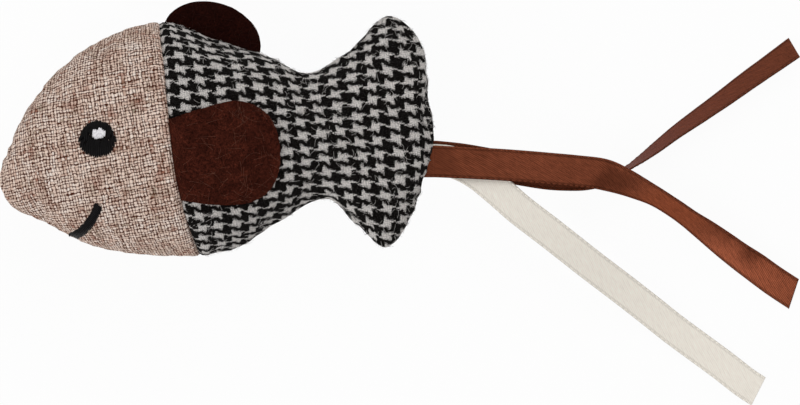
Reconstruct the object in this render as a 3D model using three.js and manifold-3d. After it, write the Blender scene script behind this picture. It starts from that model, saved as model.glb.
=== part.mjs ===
// A fish-shaped cat toy that lies on its side. The cover is four cloth panels, a head and
// a body panel on each side, sewn together inside out and turned, so that every seam has
// its allowance inside. Felt fins and satin ribbons are caught in the seams, the eyes and
// mouth are stitched on, and fibre fills the cover.
//
// Millimetres. X runs from the nose to the tail, Y from the belly to the back and Z up from
// the table. Places on the fish are measured from the nose tip and from the fish's long axis.

import * as THREE from "three";
import { mergeVertices } from "three/addons/utils/BufferGeometryUtils.js";
import Module from "manifold-3d";

// Fish
const FISH_LENGTH = 86.5;
const FISH_DEPTH = 46.6;
const FISH_THICKNESS = 29.6;
const PRESSED_FLAT = 1.2;

// Materials
const CLOTH = 1.2;
const FELT = 1.2;
const RIBBON_WIDTH = 6.35;
const RIBBON_THICKNESS = 0.3;
const EYE_STITCH_HEIGHT = 0.6;
const GLINT_STITCH_HEIGHT = 0.3;
const MOUTH_STITCH_HEIGHT = 0.6;

// Seams and fits
const SEAM_ALLOWANCE = 2.5;
const SEAM_GAP = 0.3;
const CLEARANCE = 0.3;
const RIBBON_LAYER_GAP = 0.25;

// Cover, as sections from nose to tail: where the edge seam runs along the back and along
// the belly, in hundredths of the fish's length and depth, and how far the cloth swells from
// the seam plane to each side, in hundredths of half its thickness.
const NOSE = [0, -17.4];
const TAIL_END = [100, -1.7];
const SECTIONS = [
  { at: "snout", back: [3, 0.4], belly: [3, -28.1], swell: 31 },
  { at: "cheek", back: [9.2, 20.6], belly: [9.9, -35], swell: 55 },
  { at: "brow", back: [20.8, 40.3], belly: [23.1, -46.4], swell: 73 },
  { at: "neck", back: [36.8, 50.4], belly: [46.2, -49.6], swell: 100 },
  { at: "loin", back: [49.7, 43.3], belly: [55.5, -45.5], swell: 92 },
  { at: "rump", back: [62.4, 35.8], belly: [64.7, -35], swell: 73 },
  { at: "waist", back: [70.5, 29], belly: [75.6, -25.5], swell: 58 },
  { at: "flare", back: [79.8, 37.3], belly: [82.5, -36.5], swell: 46 },
  { at: "lobes", back: [89.9, 53], belly: [89.2, -45.9], swell: 34 },
  { at: "corners", back: [96.6, 42.9], belly: [95, -33], swell: 24 },
  { at: "trailing edge", back: [99.2, 17.2], belly: [97.8, -18], swell: 16 },
];
const CROWN_POWER = 2.2;
const CROWN_ROUNDNESS = 0.56;
const NECK_WAVE = 0.9;
const NECK_WAVE_REACH = 2;

// Felt fins. The side fin's points run from the top of its seam edge round to the bottom,
// measured from the middle of that edge.
const DORSAL_LENGTH = 19.9;
const DORSAL_HEIGHT = 7.2;
const DORSAL_SET_BACK = 1.1;
const DORSAL_BEND_RISE = 0.9;
const DORSAL_BEND_GAP = 0.8;
const SIDE_FIN_SEAM_TOP = 3.9;
const SIDE_FIN_SEAM_BOTTOM = -12.1;
const SIDE_FIN_POINTS = [
  [5.2, 10.3],
  [12.2, 11.7],
  [17.8, 8.9],
  [20.1, 2.6],
  [18.9, -4.8],
  [14.8, -8.2],
  [7.4, -8.9],
];

// Stitched face, placed in hundredths of the fish's length and depth
const EYE_CENTRE = [23.2, 0.2];
const EYE_RADIUS = 3.7;
const GLINT_OFFSET = [0.4, 1.2];
const GLINT_RADIUS = 1.2;
const GLINT_CORNERS = 5;
const MOUTH_WIDTH = 1.6;
const MOUTH_POINTS = [
  [24.4, -28.1],
  [23.6, -31.5],
  [21.7, -35.6],
  [19.8, -38.6],
  [17.8, -40.8],
  [16.2, -42.3],
];

// Ribbons: distance past the bend line at the tail, across it, height of the lower edge over
// the table in hundredths of the root's height, and lean in degrees, which lifts the left
// edge. The points are chosen by eye.
const RIBBON_BEND_X = 0.7;
const RIBBON_ROOT_Y = -4;
const RIBBON_FRONT_ROUTE = [
  [0, -0.3, 100, 0], [4.8, -0.5, 99, 0], [10.8, -0.8, 95, 0], [16.8, -1.2, 88, 0],
  [22.9, -1.7, 79, 0], [28.5, -2.2, 67, 0], [33.4, -2.8, 54, 6], [37, -4, 36, 28],
  [40.7, -5.6, 23, 44], [44.4, -7.4, 15, 54], [48, -9.6, 10, 56], [51.3, -11.9, 6, 54],
  [54.5, -14.2, 4, 46], [57.8, -16.7, 3.5, 38], [61, -19.1, 3, 32], [64.3, -21.4, 2.5, 24],
  [68.3, -24.3, 2, 20], [72.4, -27, 2, 18],
];
const RIBBON_CREAM_ROUTE = [
  [0, 0, 100, 0], [2.8, -0.3, 100, 0], [5.6, -1.3, 98, 0], [8.4, -2.9, 95, 0],
  [11.2, -5.1, 91, 0], [14, -7.5, 86, 0], [16.4, -9.6, 81, 0], [23.7, -15.2, 64, 0],
  [31, -20.9, 44, 0], [38.4, -26.5, 25, 0], [43.3, -30.3, 15, 0], [48.1, -34.1, 8, 0],
  [53, -37.7, 4, 0], [57.9, -41.3, 2.5, 0], [62.7, -45, 2, 0], [65.3, -46.7, 2, 0],
];
const RIBBON_BACK_ROUTE = [
  [0, 0.7, 100, 0], [4.8, 0.2, 97, 0], [10.8, -0.8, 90, 0], [16.9, -1.9, 78, 0],
  [22.9, -2.8, 63, 0], [28, -3, 45, -5], [32.1, -2.9, 24, -34], [35.5, -2.6, 6, -68],
  [38.4, -1.7, 3, -82], [41.2, 0.1, 2, -78], [44.4, 2.5, 2, -72], [48.5, 5.7, 2, -67],
  [53.3, 9.1, 2, -62], [58.1, 12.5, 2, -58], [63, 16.1, 2, -54], [67.8, 19.5, 2, -51],
  [72.4, 22.8, 2, -48],
];

// Facets
const ROWS_PER_SECTION = 2;
const CROWN_STEPS = 6;
const CURVE_STEPS = 28;
const STROKE_STEPS = 14;
const RIBBON_STEPS = 36;
const REACH = 200;

// Finishes
const linen = new THREE.MeshStandardMaterial({ color: 0xbfab9e, roughness: 0.95, metalness: 0 });
const houndstooth = new THREE.MeshStandardMaterial({ color: 0x5f5b58, roughness: 0.95, metalness: 0 });
const felt = new THREE.MeshStandardMaterial({ color: 0x3a1710, roughness: 1, metalness: 0 });
const brownSatin = new THREE.MeshStandardMaterial({ color: 0x6b2f1a, roughness: 0.5, metalness: 0 });
const creamSatin = new THREE.MeshStandardMaterial({ color: 0xddd6ca, roughness: 0.5, metalness: 0 });
const blackThread = new THREE.MeshStandardMaterial({ color: 0x14110f, roughness: 0.6, metalness: 0 });
const whiteThread = new THREE.MeshStandardMaterial({ color: 0xf2efe9, roughness: 0.6, metalness: 0 });
const fibre = new THREE.MeshStandardMaterial({ color: 0xf4f2ee, roughness: 1, metalness: 0 });

const wasm = await Module();
wasm.setup();

// A closed geometry as a solid that can be joined and cut.
function solid(geometry) {
  geometry.deleteAttribute("normal");
  geometry.deleteAttribute("uv");
  const merged = mergeVertices(geometry);
  return new wasm.Manifold(
    new wasm.Mesh({
      numProp: 3,
      vertProperties: new Float32Array(merged.attributes.position.array),
      triVerts: new Uint32Array(merged.index.array),
    }),
  );
}

// A named piece from a solid.
function piece(name, shape, material) {
  const mesh = shape.getMesh();
  const geometry = new THREE.BufferGeometry();
  geometry.setAttribute("position", new THREE.BufferAttribute(new Float32Array(mesh.vertProperties), 3));
  geometry.setIndex(new THREE.BufferAttribute(new Uint32Array(mesh.triVerts), 1));
  geometry.computeVertexNormals();
  const made = new THREE.Mesh(geometry, material);
  made.name = name;
  return made;
}

// A closed skin over rings of equal size, which turn clockwise seen along the rings' order.
function loft(rings, start, end) {
  const size = rings[0].length;
  const points = [...rings.flat(), start, end];
  const startIndex = rings.length * size;
  const endIndex = startIndex + 1;
  const lastRing = startIndex - size;
  const index = [];
  for (let side = 0; side < size; side++) {
    const next = (side + 1) % size;
    index.push(startIndex, next, side);
    index.push(endIndex, lastRing + side, lastRing + next);
    for (let ring = 0; ring < lastRing; ring += size) {
      index.push(ring + side, ring + next, ring + size + next);
      index.push(ring + side, ring + size + next, ring + size + side);
    }
  }
  const geometry = new THREE.BufferGeometry().setFromPoints(points);
  geometry.setIndex(index);
  return solid(geometry);
}

// An upright slab over a plan outline.
function prism(outline, bottom, top) {
  const shape = new THREE.Shape(outline);
  const geometry = new THREE.ExtrudeGeometry(shape, { depth: top - bottom, bevelEnabled: false });
  return solid(geometry.translate(0, 0, bottom));
}

function slab(bottom, top) {
  const geometry = new THREE.BoxGeometry(2 * REACH, 2 * REACH, top - bottom);
  return solid(geometry.translate(0, 0, (bottom + top) / 2));
}

// A place on the fish in the seam plane, from hundredths of its length and depth.
function onFish(place) {
  return new THREE.Vector3((place[0] / 100) * FISH_LENGTH, (place[1] / 100) * FISH_DEPTH, 0);
}

// The closed edge seam, from the nose along the back to the tail and home along the belly.
const SEAM_HEIGHT = FISH_THICKNESS / 2 - PRESSED_FLAT;
const seamPoints = [
  NOSE,
  ...SECTIONS.map((section) => section.back),
  TAIL_END,
  ...SECTIONS.map((section) => section.belly).reverse(),
].map(onFish);
const edgeSeam = new THREE.CatmullRomCurve3(seamPoints, true);
const lastSection = SECTIONS.length + 1;
const neckSection = SECTIONS.findIndex((section) => section.at === "neck") + 1;
const swells = [0, ...SECTIONS.map((section) => (section.swell / 100) * (FISH_THICKNESS / 2)), 0];
const swellCurve = new THREE.SplineCurve(swells.map((swell, at) => new THREE.Vector2(at, swell)));

// A point of the edge seam moved into the fish by an inset.
function seamPoint(share, inset) {
  const along = edgeSeam.getTangent(share);
  const inward = new THREE.Vector3(along.y, -along.x, 0);
  return edgeSeam.getPoint(share).addScaledVector(inward, inset);
}

// A point of the plan on a section's row, from the belly seam at -1 to the back seam at 1.
function rowPoint(section, across, inset) {
  const share = section / seamPoints.length;
  const back = seamPoint(share, inset);
  const belly = seamPoint(1 - share, inset);
  const nearNeck = Math.max(0, 1 - Math.abs(section - neckSection) / NECK_WAVE_REACH);
  const point = belly.lerp(back, (across + 1) / 2);
  point.x += NECK_WAVE * nearNeck * Math.sin(Math.PI * across);
  return point;
}

// The stuffed form, with its surface an inset inside the cover's own.
function swollen(inset) {
  const rings = [];
  for (let row = 1; row < lastSection * ROWS_PER_SECTION; row++) {
    const section = row / ROWS_PER_SECTION;
    const swell = swellCurve.getPoint(section / lastSection).y;
    const height = Math.max(swell - inset, swell / 2);
    const near = [];
    const far = [];
    for (let step = -CROWN_STEPS; step <= CROWN_STEPS; step++) {
      const across = Math.sin((Math.PI / 2) * (step / CROWN_STEPS));
      const crown = Math.max(0, 1 - Math.abs(across) ** CROWN_POWER) ** CROWN_ROUNDNESS;
      const plan = rowPoint(section, across, inset);
      near.unshift(new THREE.Vector3(plan.x, plan.y, SEAM_HEIGHT + height * crown));
      far.push(new THREE.Vector3(plan.x, plan.y, SEAM_HEIGHT - height * crown));
    }
    rings.push([...near, ...far.slice(1, -1)]);
  }
  const nose = seamPoint(0, inset).setZ(SEAM_HEIGHT);
  const tail = seamPoint(lastSection / seamPoints.length, inset).setZ(SEAM_HEIGHT);
  return loft(rings, nose, tail);
}

// The neck line across one side, run on past both edge seams, moved towards the tail.
function neckLine(shift) {
  const line = [new THREE.Vector2(rowPoint(neckSection, -1, 0).x + shift, -REACH)];
  for (let step = 0; step <= CURVE_STEPS; step++) {
    const point = rowPoint(neckSection, (2 * step) / CURVE_STEPS - 1, 0);
    line.push(new THREE.Vector2(point.x + shift, point.y));
  }
  line.push(new THREE.Vector2(rowPoint(neckSection, 1, 0).x + shift, REACH));
  return line;
}

// Everything on the nose side of the neck line.
function headSide(shift) {
  const corners = [new THREE.Vector2(-REACH, REACH), new THREE.Vector2(-REACH, -REACH)];
  return prism([...neckLine(shift), ...corners], -REACH, REACH);
}

function neckBand(halfWidth) {
  return headSide(halfWidth).subtract(headSide(-halfWidth));
}

// Where the neck line stands at a given Y.
function neckX(y) {
  const line = neckLine(0);
  const upper = line.findIndex((point) => point.y >= y);
  const [below, above] = [line[upper - 1], line[upper]];
  return THREE.MathUtils.mapLinear(y, below.y, above.y, below.x, above.x);
}

// The side fin's plan, grown by a margin, from a line beside the neck seam.
function sideFinOutline(fromNeck, margin) {
  const middle = (SIDE_FIN_SEAM_TOP + SIDE_FIN_SEAM_BOTTOM) / 2;
  const onNeck = (y) => new THREE.Vector3(neckX(y) + fromNeck, y, 0);
  const rim = SIDE_FIN_POINTS.map((point) => new THREE.Vector3(neckX(middle) + point[0], middle + point[1], 0));
  const curve = new THREE.CatmullRomCurve3([onNeck(SIDE_FIN_SEAM_TOP), ...rim, onNeck(SIDE_FIN_SEAM_BOTTOM)]);
  const outline = [];
  for (let step = 0; step <= CURVE_STEPS; step++) {
    const along = curve.getTangentAt(step / CURVE_STEPS);
    const outward = new THREE.Vector3(-along.y, along.x, 0);
    outline.push(curve.getPointAt(step / CURVE_STEPS).addScaledVector(outward, margin));
  }
  const top = new THREE.Vector3(neckX(SIDE_FIN_SEAM_TOP) + fromNeck - margin, outline[0].y, 0);
  const foot = new THREE.Vector3(neckX(SIDE_FIN_SEAM_BOTTOM) + fromNeck - margin, outline.at(-1).y, 0);
  return [top, ...outline, foot];
}

// The cover's outside with an inset: it lies flat on the table, with the far side fin
// pressed into it there.
function cover(inset) {
  const pressed = sideFinOutline(-FELT / 2, CLEARANCE + inset);
  const recess = prism(pressed, -REACH, FELT + CLEARANCE + inset);
  return swollen(inset).intersect(slab(inset, REACH)).subtract(recess);
}

// A layer that lies on the cover's near or far side, from one height over it to another.
function layer(from, to) {
  return swollen(-to).subtract(swollen(-from));
}

// The side fins: a felt flap on each side of the cover, and its edge caught in the neck seam.
const nearHalf = slab(SEAM_HEIGHT + SEAM_GAP / 2, REACH);
const farHalf = slab(-REACH, SEAM_HEIGHT - SEAM_GAP / 2);
const flapOutline = sideFinOutline(FELT / 2 + CLEARANCE, 0);
const sideFinNear = layer(CLEARANCE, CLEARANCE + FELT)
  .intersect(prism(flapOutline, -REACH, REACH))
  .intersect(nearHalf);
const sideFinFar = prism(flapOutline, 0, FELT);

function finSeamBand(margin) {
  const top = SIDE_FIN_SEAM_TOP + margin;
  const bottom = SIDE_FIN_SEAM_BOTTOM - margin;
  const span = new THREE.BoxGeometry(2 * REACH, top - bottom, 2 * REACH);
  span.translate(0, (top + bottom) / 2, 0);
  return neckBand(FELT / 2 + margin).intersect(solid(span));
}

function sewnEdgeNear(margin) {
  return finSeamBand(margin)
    .intersect(swollen(-CLEARANCE - FELT))
    .subtract(swollen(SEAM_ALLOWANCE + margin))
    .intersect(nearHalf);
}

function sewnEdgeFar(margin) {
  return finSeamBand(margin).intersect(slab(-margin, FELT + SEAM_ALLOWANCE + margin));
}

// The dorsal fin stands on the back's seam: X along its base, Y away from the fish.
const backStart = rowPoint(neckSection, 1, 0);
const rumpPoint = onFish(SECTIONS.find((section) => section.at === "rump").back);
const dorsalTurn = Math.atan2(rumpPoint.y - backStart.y, rumpPoint.x - backStart.x);
const dorsalPlace = new THREE.Matrix4()
  .makeRotationZ(dorsalTurn)
  .setPosition(backStart.x, backStart.y, SEAM_HEIGHT)
  .multiply(new THREE.Matrix4().makeTranslation(DORSAL_SET_BACK, 0, 0));

function dorsalFelt(bottom, top, margin) {
  const outline = new THREE.Shape();
  const half = DORSAL_LENGTH / 2 + margin;
  outline.moveTo(-half, -SEAM_ALLOWANCE - margin);
  outline.lineTo(half, -SEAM_ALLOWANCE - margin);
  outline.lineTo(half, 0);
  outline.absellipse(0, 0, half, DORSAL_HEIGHT + margin, 0, Math.PI);
  const depth = FELT + 2 * margin;
  const settings = { depth, bevelEnabled: false, curveSegments: CURVE_STEPS / 2 };
  const whole = new THREE.ExtrudeGeometry(outline, settings).translate(DORSAL_LENGTH / 2, 0, -depth / 2);
  const keep = new THREE.BoxGeometry(REACH, top - bottom + 2 * margin, REACH);
  keep.translate(DORSAL_LENGTH / 2, (top + bottom) / 2, 0);
  return solid(whole.applyMatrix4(dorsalPlace)).intersect(solid(keep.applyMatrix4(dorsalPlace)));
}

const dorsalFin = dorsalFelt(DORSAL_BEND_RISE + DORSAL_BEND_GAP / 2, DORSAL_HEIGHT + CLEARANCE, 0);
const dorsalEdge = dorsalFelt(-SEAM_ALLOWANCE, DORSAL_BEND_RISE - DORSAL_BEND_GAP / 2, 0);
const dorsalRoom = dorsalFelt(-SEAM_ALLOWANCE, DORSAL_HEIGHT + CLEARANCE, CLEARANCE);

// The ribbons' sewn ends lie in layers in the tail seam, and their free stretches follow
// their routes from the bend line.
const bendX = onFish(TAIL_END).x + RIBBON_BEND_X;
const layerRise = RIBBON_THICKNESS + RIBBON_LAYER_GAP;

const rootHeight = (level) => SEAM_HEIGHT + level * layerRise;

function ribbonEnd(route, level, margin) {
  const length = RIBBON_BEND_X + 2 * SEAM_ALLOWANCE;
  const geometry = new THREE.BoxGeometry(
    length + 2 * margin,
    RIBBON_WIDTH + 2 * margin,
    RIBBON_THICKNESS + 2 * margin,
  );
  const middle = bendX - CLEARANCE / 2 - length / 2;
  return solid(geometry.translate(middle, RIBBON_ROOT_Y + route[0][1], rootHeight(level)));
}

function ribbonStretch(route, level) {
  const place = ([past, across, height, lean]) => {
    const halfRise = (RIBBON_WIDTH / 2) * Math.abs(Math.sin(THREE.MathUtils.degToRad(lean)));
    const z = (height / 100) * rootHeight(level) + halfRise;
    return new THREE.Vector3(bendX + past, RIBBON_ROOT_Y + across, z);
  };
  const path = new THREE.CatmullRomCurve3(route.map(place));
  const leans = new THREE.SplineCurve(route.map((point, at) => new THREE.Vector2(at, point[3])));
  const up = new THREE.Vector3(0, 0, 1);
  const rings = [];
  for (let step = 0; step <= RIBBON_STEPS; step++) {
    const share = step / RIBBON_STEPS;
    const along = path.getTangent(share);
    const centre = path.getPoint(share);
    if (step === 0) {
      along.set(1, 0, 0);
      centre.x += CLEARANCE / 2;
    }
    const lean = THREE.MathUtils.degToRad(leans.getPoint(share).y);
    const right = along.clone().cross(up).normalize().applyAxisAngle(along, lean);
    const face = right.clone().cross(along).setLength(RIBBON_THICKNESS / 2);
    right.setLength(RIBBON_WIDTH / 2);
    rings.push([
      centre.clone().add(face).sub(right),
      centre.clone().add(face).add(right),
      centre.clone().sub(face).add(right),
      centre.clone().sub(face).sub(right),
    ]);
  }
  const middleOf = (ring) => ring[0].clone().add(ring[2]).multiplyScalar(0.5);
  return loft(rings, middleOf(rings[0]), middleOf(rings.at(-1)));
}

const ribbons = [
  { name: "ribbon_front", route: RIBBON_FRONT_ROUTE, level: 1, finish: brownSatin },
  { name: "ribbon_cream", route: RIBBON_CREAM_ROUTE, level: 0, finish: creamSatin },
  { name: "ribbon_back", route: RIBBON_BACK_ROUTE, level: -1, finish: brownSatin },
];

// The cover's cloth, with its allowances turned in along the edge seam and at the neck,
// and room for what the seams hold.
const outside = cover(0);
const turnedIn = outside.subtract(cover(SEAM_ALLOWANCE));
const foldedBack = slab(SEAM_HEIGHT - SEAM_GAP / 2 - CLOTH, SEAM_HEIGHT + SEAM_GAP / 2 + CLOTH)
  .add(neckBand(SEAM_GAP / 2 + CLOTH));
const held = ribbons
  .map((ribbon) => ribbonEnd(ribbon.route, ribbon.level, CLEARANCE))
  .concat(dorsalRoom, sewnEdgeNear(CLEARANCE), sewnEdgeFar(CLEARANCE))
  .reduce((room, more) => room.add(more));
const cloth = outside.subtract(cover(CLOTH)).add(turnedIn.intersect(foldedBack)).subtract(held);
const headCloth = cloth.intersect(headSide(-SEAM_GAP / 2));
const bodyCloth = cloth.subtract(headSide(SEAM_GAP / 2));

// The stuffing fills the cover round the turned-in allowances.
const insideRoom = CLOTH + CLEARANCE;
const allowanceRoom = slab(SEAM_HEIGHT - SEAM_GAP / 2 - insideRoom, SEAM_HEIGHT + SEAM_GAP / 2 + insideRoom)
  .add(neckBand(SEAM_GAP / 2 + insideRoom));
const stuffing = cover(insideRoom)
  .subtract(outside.subtract(cover(SEAM_ALLOWANCE + CLEARANCE)).intersect(allowanceRoom))
  .subtract(held);

// The stitched face of one side.
function disc(centre, radius, corners) {
  const outline = [];
  for (let corner = 0; corner < corners; corner++) {
    const turn = (2 * Math.PI * corner) / corners;
    outline.push(new THREE.Vector2(centre.x + radius * Math.cos(turn), centre.y + radius * Math.sin(turn)));
  }
  return prism(outline, -REACH, REACH);
}

function mouthPlan() {
  const curve = new THREE.CatmullRomCurve3(MOUTH_POINTS.map(onFish));
  const upper = [];
  const lower = [];
  for (let step = 0; step <= STROKE_STEPS; step++) {
    const along = curve.getTangentAt(step / STROKE_STEPS);
    const aside = new THREE.Vector3(-along.y, along.x, 0).setLength(MOUTH_WIDTH / 2);
    const point = curve.getPointAt(step / STROKE_STEPS);
    upper.push(point.clone().add(aside));
    lower.unshift(point.clone().sub(aside));
  }
  return prism([...upper, ...lower], -REACH, REACH);
}

const eyeCentre = onFish(EYE_CENTRE);
const glintCentre = eyeCentre.clone().add(new THREE.Vector3(...GLINT_OFFSET, 0));
const eyeTop = CLEARANCE + EYE_STITCH_HEIGHT;
const eye = layer(CLEARANCE, eyeTop).intersect(disc(eyeCentre, EYE_RADIUS, CURVE_STEPS));
const glint = layer(eyeTop + CLEARANCE, eyeTop + CLEARANCE + GLINT_STITCH_HEIGHT)
  .intersect(disc(glintCentre, GLINT_RADIUS, GLINT_CORNERS));
const mouth = layer(CLEARANCE, CLEARANCE + MOUTH_STITCH_HEIGHT).intersect(mouthPlan());

const fish = new THREE.Group();
for (const [side, half] of [["near", nearHalf], ["far", farHalf]]) {
  fish.add(piece(`head_panel_${side}`, headCloth.intersect(half), linen));
  fish.add(piece(`body_panel_${side}`, bodyCloth.intersect(half), houndstooth));
  fish.add(piece(`eye_${side}`, eye.intersect(half), blackThread));
  fish.add(piece(`eye_glint_${side}`, glint.intersect(half), whiteThread));
  fish.add(piece(`mouth_${side}`, mouth.intersect(half), blackThread));
}
fish.add(piece("fibre_stuffing", stuffing, fibre));
fish.add(piece("side_fin_near", sideFinNear, felt));
fish.add(piece("side_fin_near_sewn_edge", sewnEdgeNear(0), felt));
fish.add(piece("side_fin_far", sideFinFar, felt));
fish.add(piece("side_fin_far_sewn_edge", sewnEdgeFar(0), felt));
fish.add(piece("dorsal_fin", dorsalFin, felt));
fish.add(piece("dorsal_fin_sewn_edge", dorsalEdge, felt));

// The origin is on the table, under the middle of the fish.
const middle = new THREE.Box3().setFromObject(fish).getCenter(new THREE.Vector3());
const toy = new THREE.Group();
toy.add(fish);
for (const ribbon of ribbons) {
  toy.add(piece(ribbon.name, ribbonStretch(ribbon.route, ribbon.level), ribbon.finish));
  toy.add(piece(`${ribbon.name}_sewn_end`, ribbonEnd(ribbon.route, ribbon.level, 0), ribbon.finish));
}
toy.position.set(-middle.x, -middle.y, 0);

export default toy;
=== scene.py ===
"""A fish-shaped cat toy: a stuffed cover of linen and houndstooth wool that lies on its side,
with felt fins in its seams, a stitched face and three satin ribbons at the tail."""

import math
import random

import bmesh
import bpy
from bpy.props import FloatProperty, FloatVectorProperty, IntProperty, PointerProperty
from mathutils import Matrix, Vector, noise
from mathutils.bvhtree import BVHTree
from mathutils.kdtree import KDTree


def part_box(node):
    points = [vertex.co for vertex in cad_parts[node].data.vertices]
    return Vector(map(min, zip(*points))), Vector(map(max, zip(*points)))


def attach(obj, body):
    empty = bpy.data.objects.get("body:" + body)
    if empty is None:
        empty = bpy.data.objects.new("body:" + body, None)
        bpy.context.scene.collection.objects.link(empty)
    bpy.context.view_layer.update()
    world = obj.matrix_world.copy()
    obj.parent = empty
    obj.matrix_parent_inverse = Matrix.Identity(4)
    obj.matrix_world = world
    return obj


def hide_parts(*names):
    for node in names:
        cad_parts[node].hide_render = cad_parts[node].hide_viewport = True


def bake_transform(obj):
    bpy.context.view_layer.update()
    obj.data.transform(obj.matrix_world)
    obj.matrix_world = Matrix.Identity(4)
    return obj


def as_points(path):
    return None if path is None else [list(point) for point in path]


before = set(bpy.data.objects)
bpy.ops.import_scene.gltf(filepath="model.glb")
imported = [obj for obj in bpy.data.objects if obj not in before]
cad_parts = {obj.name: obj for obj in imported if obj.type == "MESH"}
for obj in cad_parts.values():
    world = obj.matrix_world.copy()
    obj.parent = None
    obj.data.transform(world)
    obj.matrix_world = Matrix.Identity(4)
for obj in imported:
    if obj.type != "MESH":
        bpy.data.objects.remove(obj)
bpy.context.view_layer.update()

bl_info = {
    "name": "Fish-shaped cat toy",
    "version": (1, 0, 0),
    "blender": (4, 5, 0),
    "location": "3D View > Sidebar > Cat Toy",
    "description": "Builds a stuffed cloth fish with felt fins, a stitched face and satin ribbons",
    "category": "Add Mesh",
}

MM = 0.001

# The cover's sections from nose to tail: the edge seam along the back and along the belly, in
# hundredths of the fish's length and depth, and the swell in hundredths of half its thickness.
NOSE = (0, -17.4)
TAIL_END = (100, -1.7)
SECTIONS = (
    ((3, 0.4), (3, -28.1), 31),
    ((9.2, 20.6), (9.9, -35), 55),
    ((20.8, 40.3), (23.1, -46.4), 73),
    ((36.8, 50.4), (46.2, -49.6), 100),
    ((49.7, 43.3), (55.5, -45.5), 92),
    ((62.4, 35.8), (64.7, -35), 73),
    ((70.5, 29), (75.6, -25.5), 58),
    ((79.8, 37.3), (82.5, -36.5), 46),
    ((89.9, 53), (89.2, -45.9), 34),
    ((96.6, 42.9), (95, -33), 24),
    ((99.2, 17.2), (97.8, -18), 16),
)
# Sections by number, from the nose at 0.
NECK = 4
RUMP = 6
TAIL = len(SECTIONS) + 1
# The cover's swell across a section, and how many sections round the neck its seam swings.
CROWN_POWER = 2.2
CROWN_ROUNDNESS = 0.56
NECK_WAVE_REACH = 2

# Side fin's rim from the top of its seam edge round to the bottom, in millimetres from the
# middle of that edge.
SIDE_FIN_RIM = (
    (6.3, 10.3), (13.3, 11.7), (18.9, 8.9), (21.2, 2.6), (20, -4.8), (15.9, -8.2), (8.5, -8.9),
)

# Face, in hundredths of the fish's length and depth.
EYE = (23.2, 0.2)
MOUTH = (
    (23.3, -28.4), (22.8, -30.5), (22, -33.3), (20.7, -36.5), (19.1, -39.2), (17.6, -40.7), (16.2, -41.8),
)
# Lower and upper ends of the eye highlight's stitches, in millimetres from its middle.
GLINT = ((-0.8, 0.85), (-1.15, 0.95), (-1.25, 0.8), (-1.2, 1.3), (-1.2, 1.2), (-1.05, 0.8), (-0.6, 0.5))

# Ribbon routes: millimetres past the bend line at the tail and across it, height of the lower
# edge in hundredths of the root's height, and lean in degrees, which lifts the left edge.
FRONT_ROUTE = (
    (0, -0.3, 100, 0), (4.8, -0.5, 99, 0), (10.8, -0.8, 95, 0), (16.8, -1.2, 88, 0),
    (22.9, -1.7, 79, 0), (28.5, -2.2, 67, 0), (33.4, -2.8, 54, 6), (37, -4, 36, 28),
    (40.7, -5.6, 23, 44), (44.4, -7.4, 15, 54), (48, -9.6, 10, 56), (51.3, -11.9, 6, 54),
    (54.5, -14.2, 4, 46), (57.8, -16.7, 3.5, 38), (61, -19.1, 3, 32), (64.3, -21.4, 2.5, 24),
    (68.3, -24.3, 2, 20), (72.4, -27, 2, 18),
)
CREAM_ROUTE = (
    (0, 0, 100, 0), (2.8, -0.3, 100, 0), (5.6, -1.3, 98, 0), (8.4, -2.9, 95, 0),
    (11.2, -5.1, 91, 0), (14, -7.5, 86, 0), (16.4, -9.6, 81, 0), (23.7, -15.2, 64, 0),
    (31, -20.9, 44, 0), (38.4, -26.5, 25, 0), (43.3, -30.3, 15, 0), (48.1, -34.1, 8, 0),
    (53, -37.7, 4, 0), (57.9, -41.3, 2.5, 0), (62.7, -45, 2, 0), (65.3, -46.7, 2, 0),
)
BACK_ROUTE = (
    (0, 0.7, 100, 0), (4.8, 0.2, 97, 0), (10.8, -0.8, 90, 0), (16.9, -1.9, 78, 0),
    (22.9, -2.8, 63, 0), (28, -3, 45, -5), (32.1, -2.9, 24, -34), (35.5, -2.6, 6, -68),
    (38.4, -1.7, 3, -82), (41.2, 0.1, 2, -78), (44.4, 2.5, 2, -72), (48.5, 5.7, 2, -67),
    (53.3, 9.1, 2, -62), (58.1, 12.5, 2, -58), (63, 16.1, 2, -54), (67.8, 19.5, 2, -51),
    (72.4, 22.8, 2, -48),
)


def linear(hex_colour):
    """An sRGB hex colour as linear red, green and blue."""
    channels = [int(hex_colour[at:at + 2], 16) / 255 for at in (1, 3, 5)]
    return tuple(c / 12.92 if c <= 0.04045 else ((c + 0.055) / 1.055) ** 2.4 for c in channels)


def length(name, description, millimetres):
    """A length that a user may change."""
    return FloatProperty(
        name=name, description=description, default=millimetres * MM, unit="LENGTH", precision=5
    )


def face_count(name, description, number):
    """A number of faces that a user may change."""
    return IntProperty(name=name, description=description, default=number, min=20)


def colour(name, description, hex_colour):
    """A colour that a user may change."""
    return FloatVectorProperty(
        name=name, description=description, default=linear(hex_colour), size=3, min=0, max=1,
        subtype="COLOR",
    )


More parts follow.
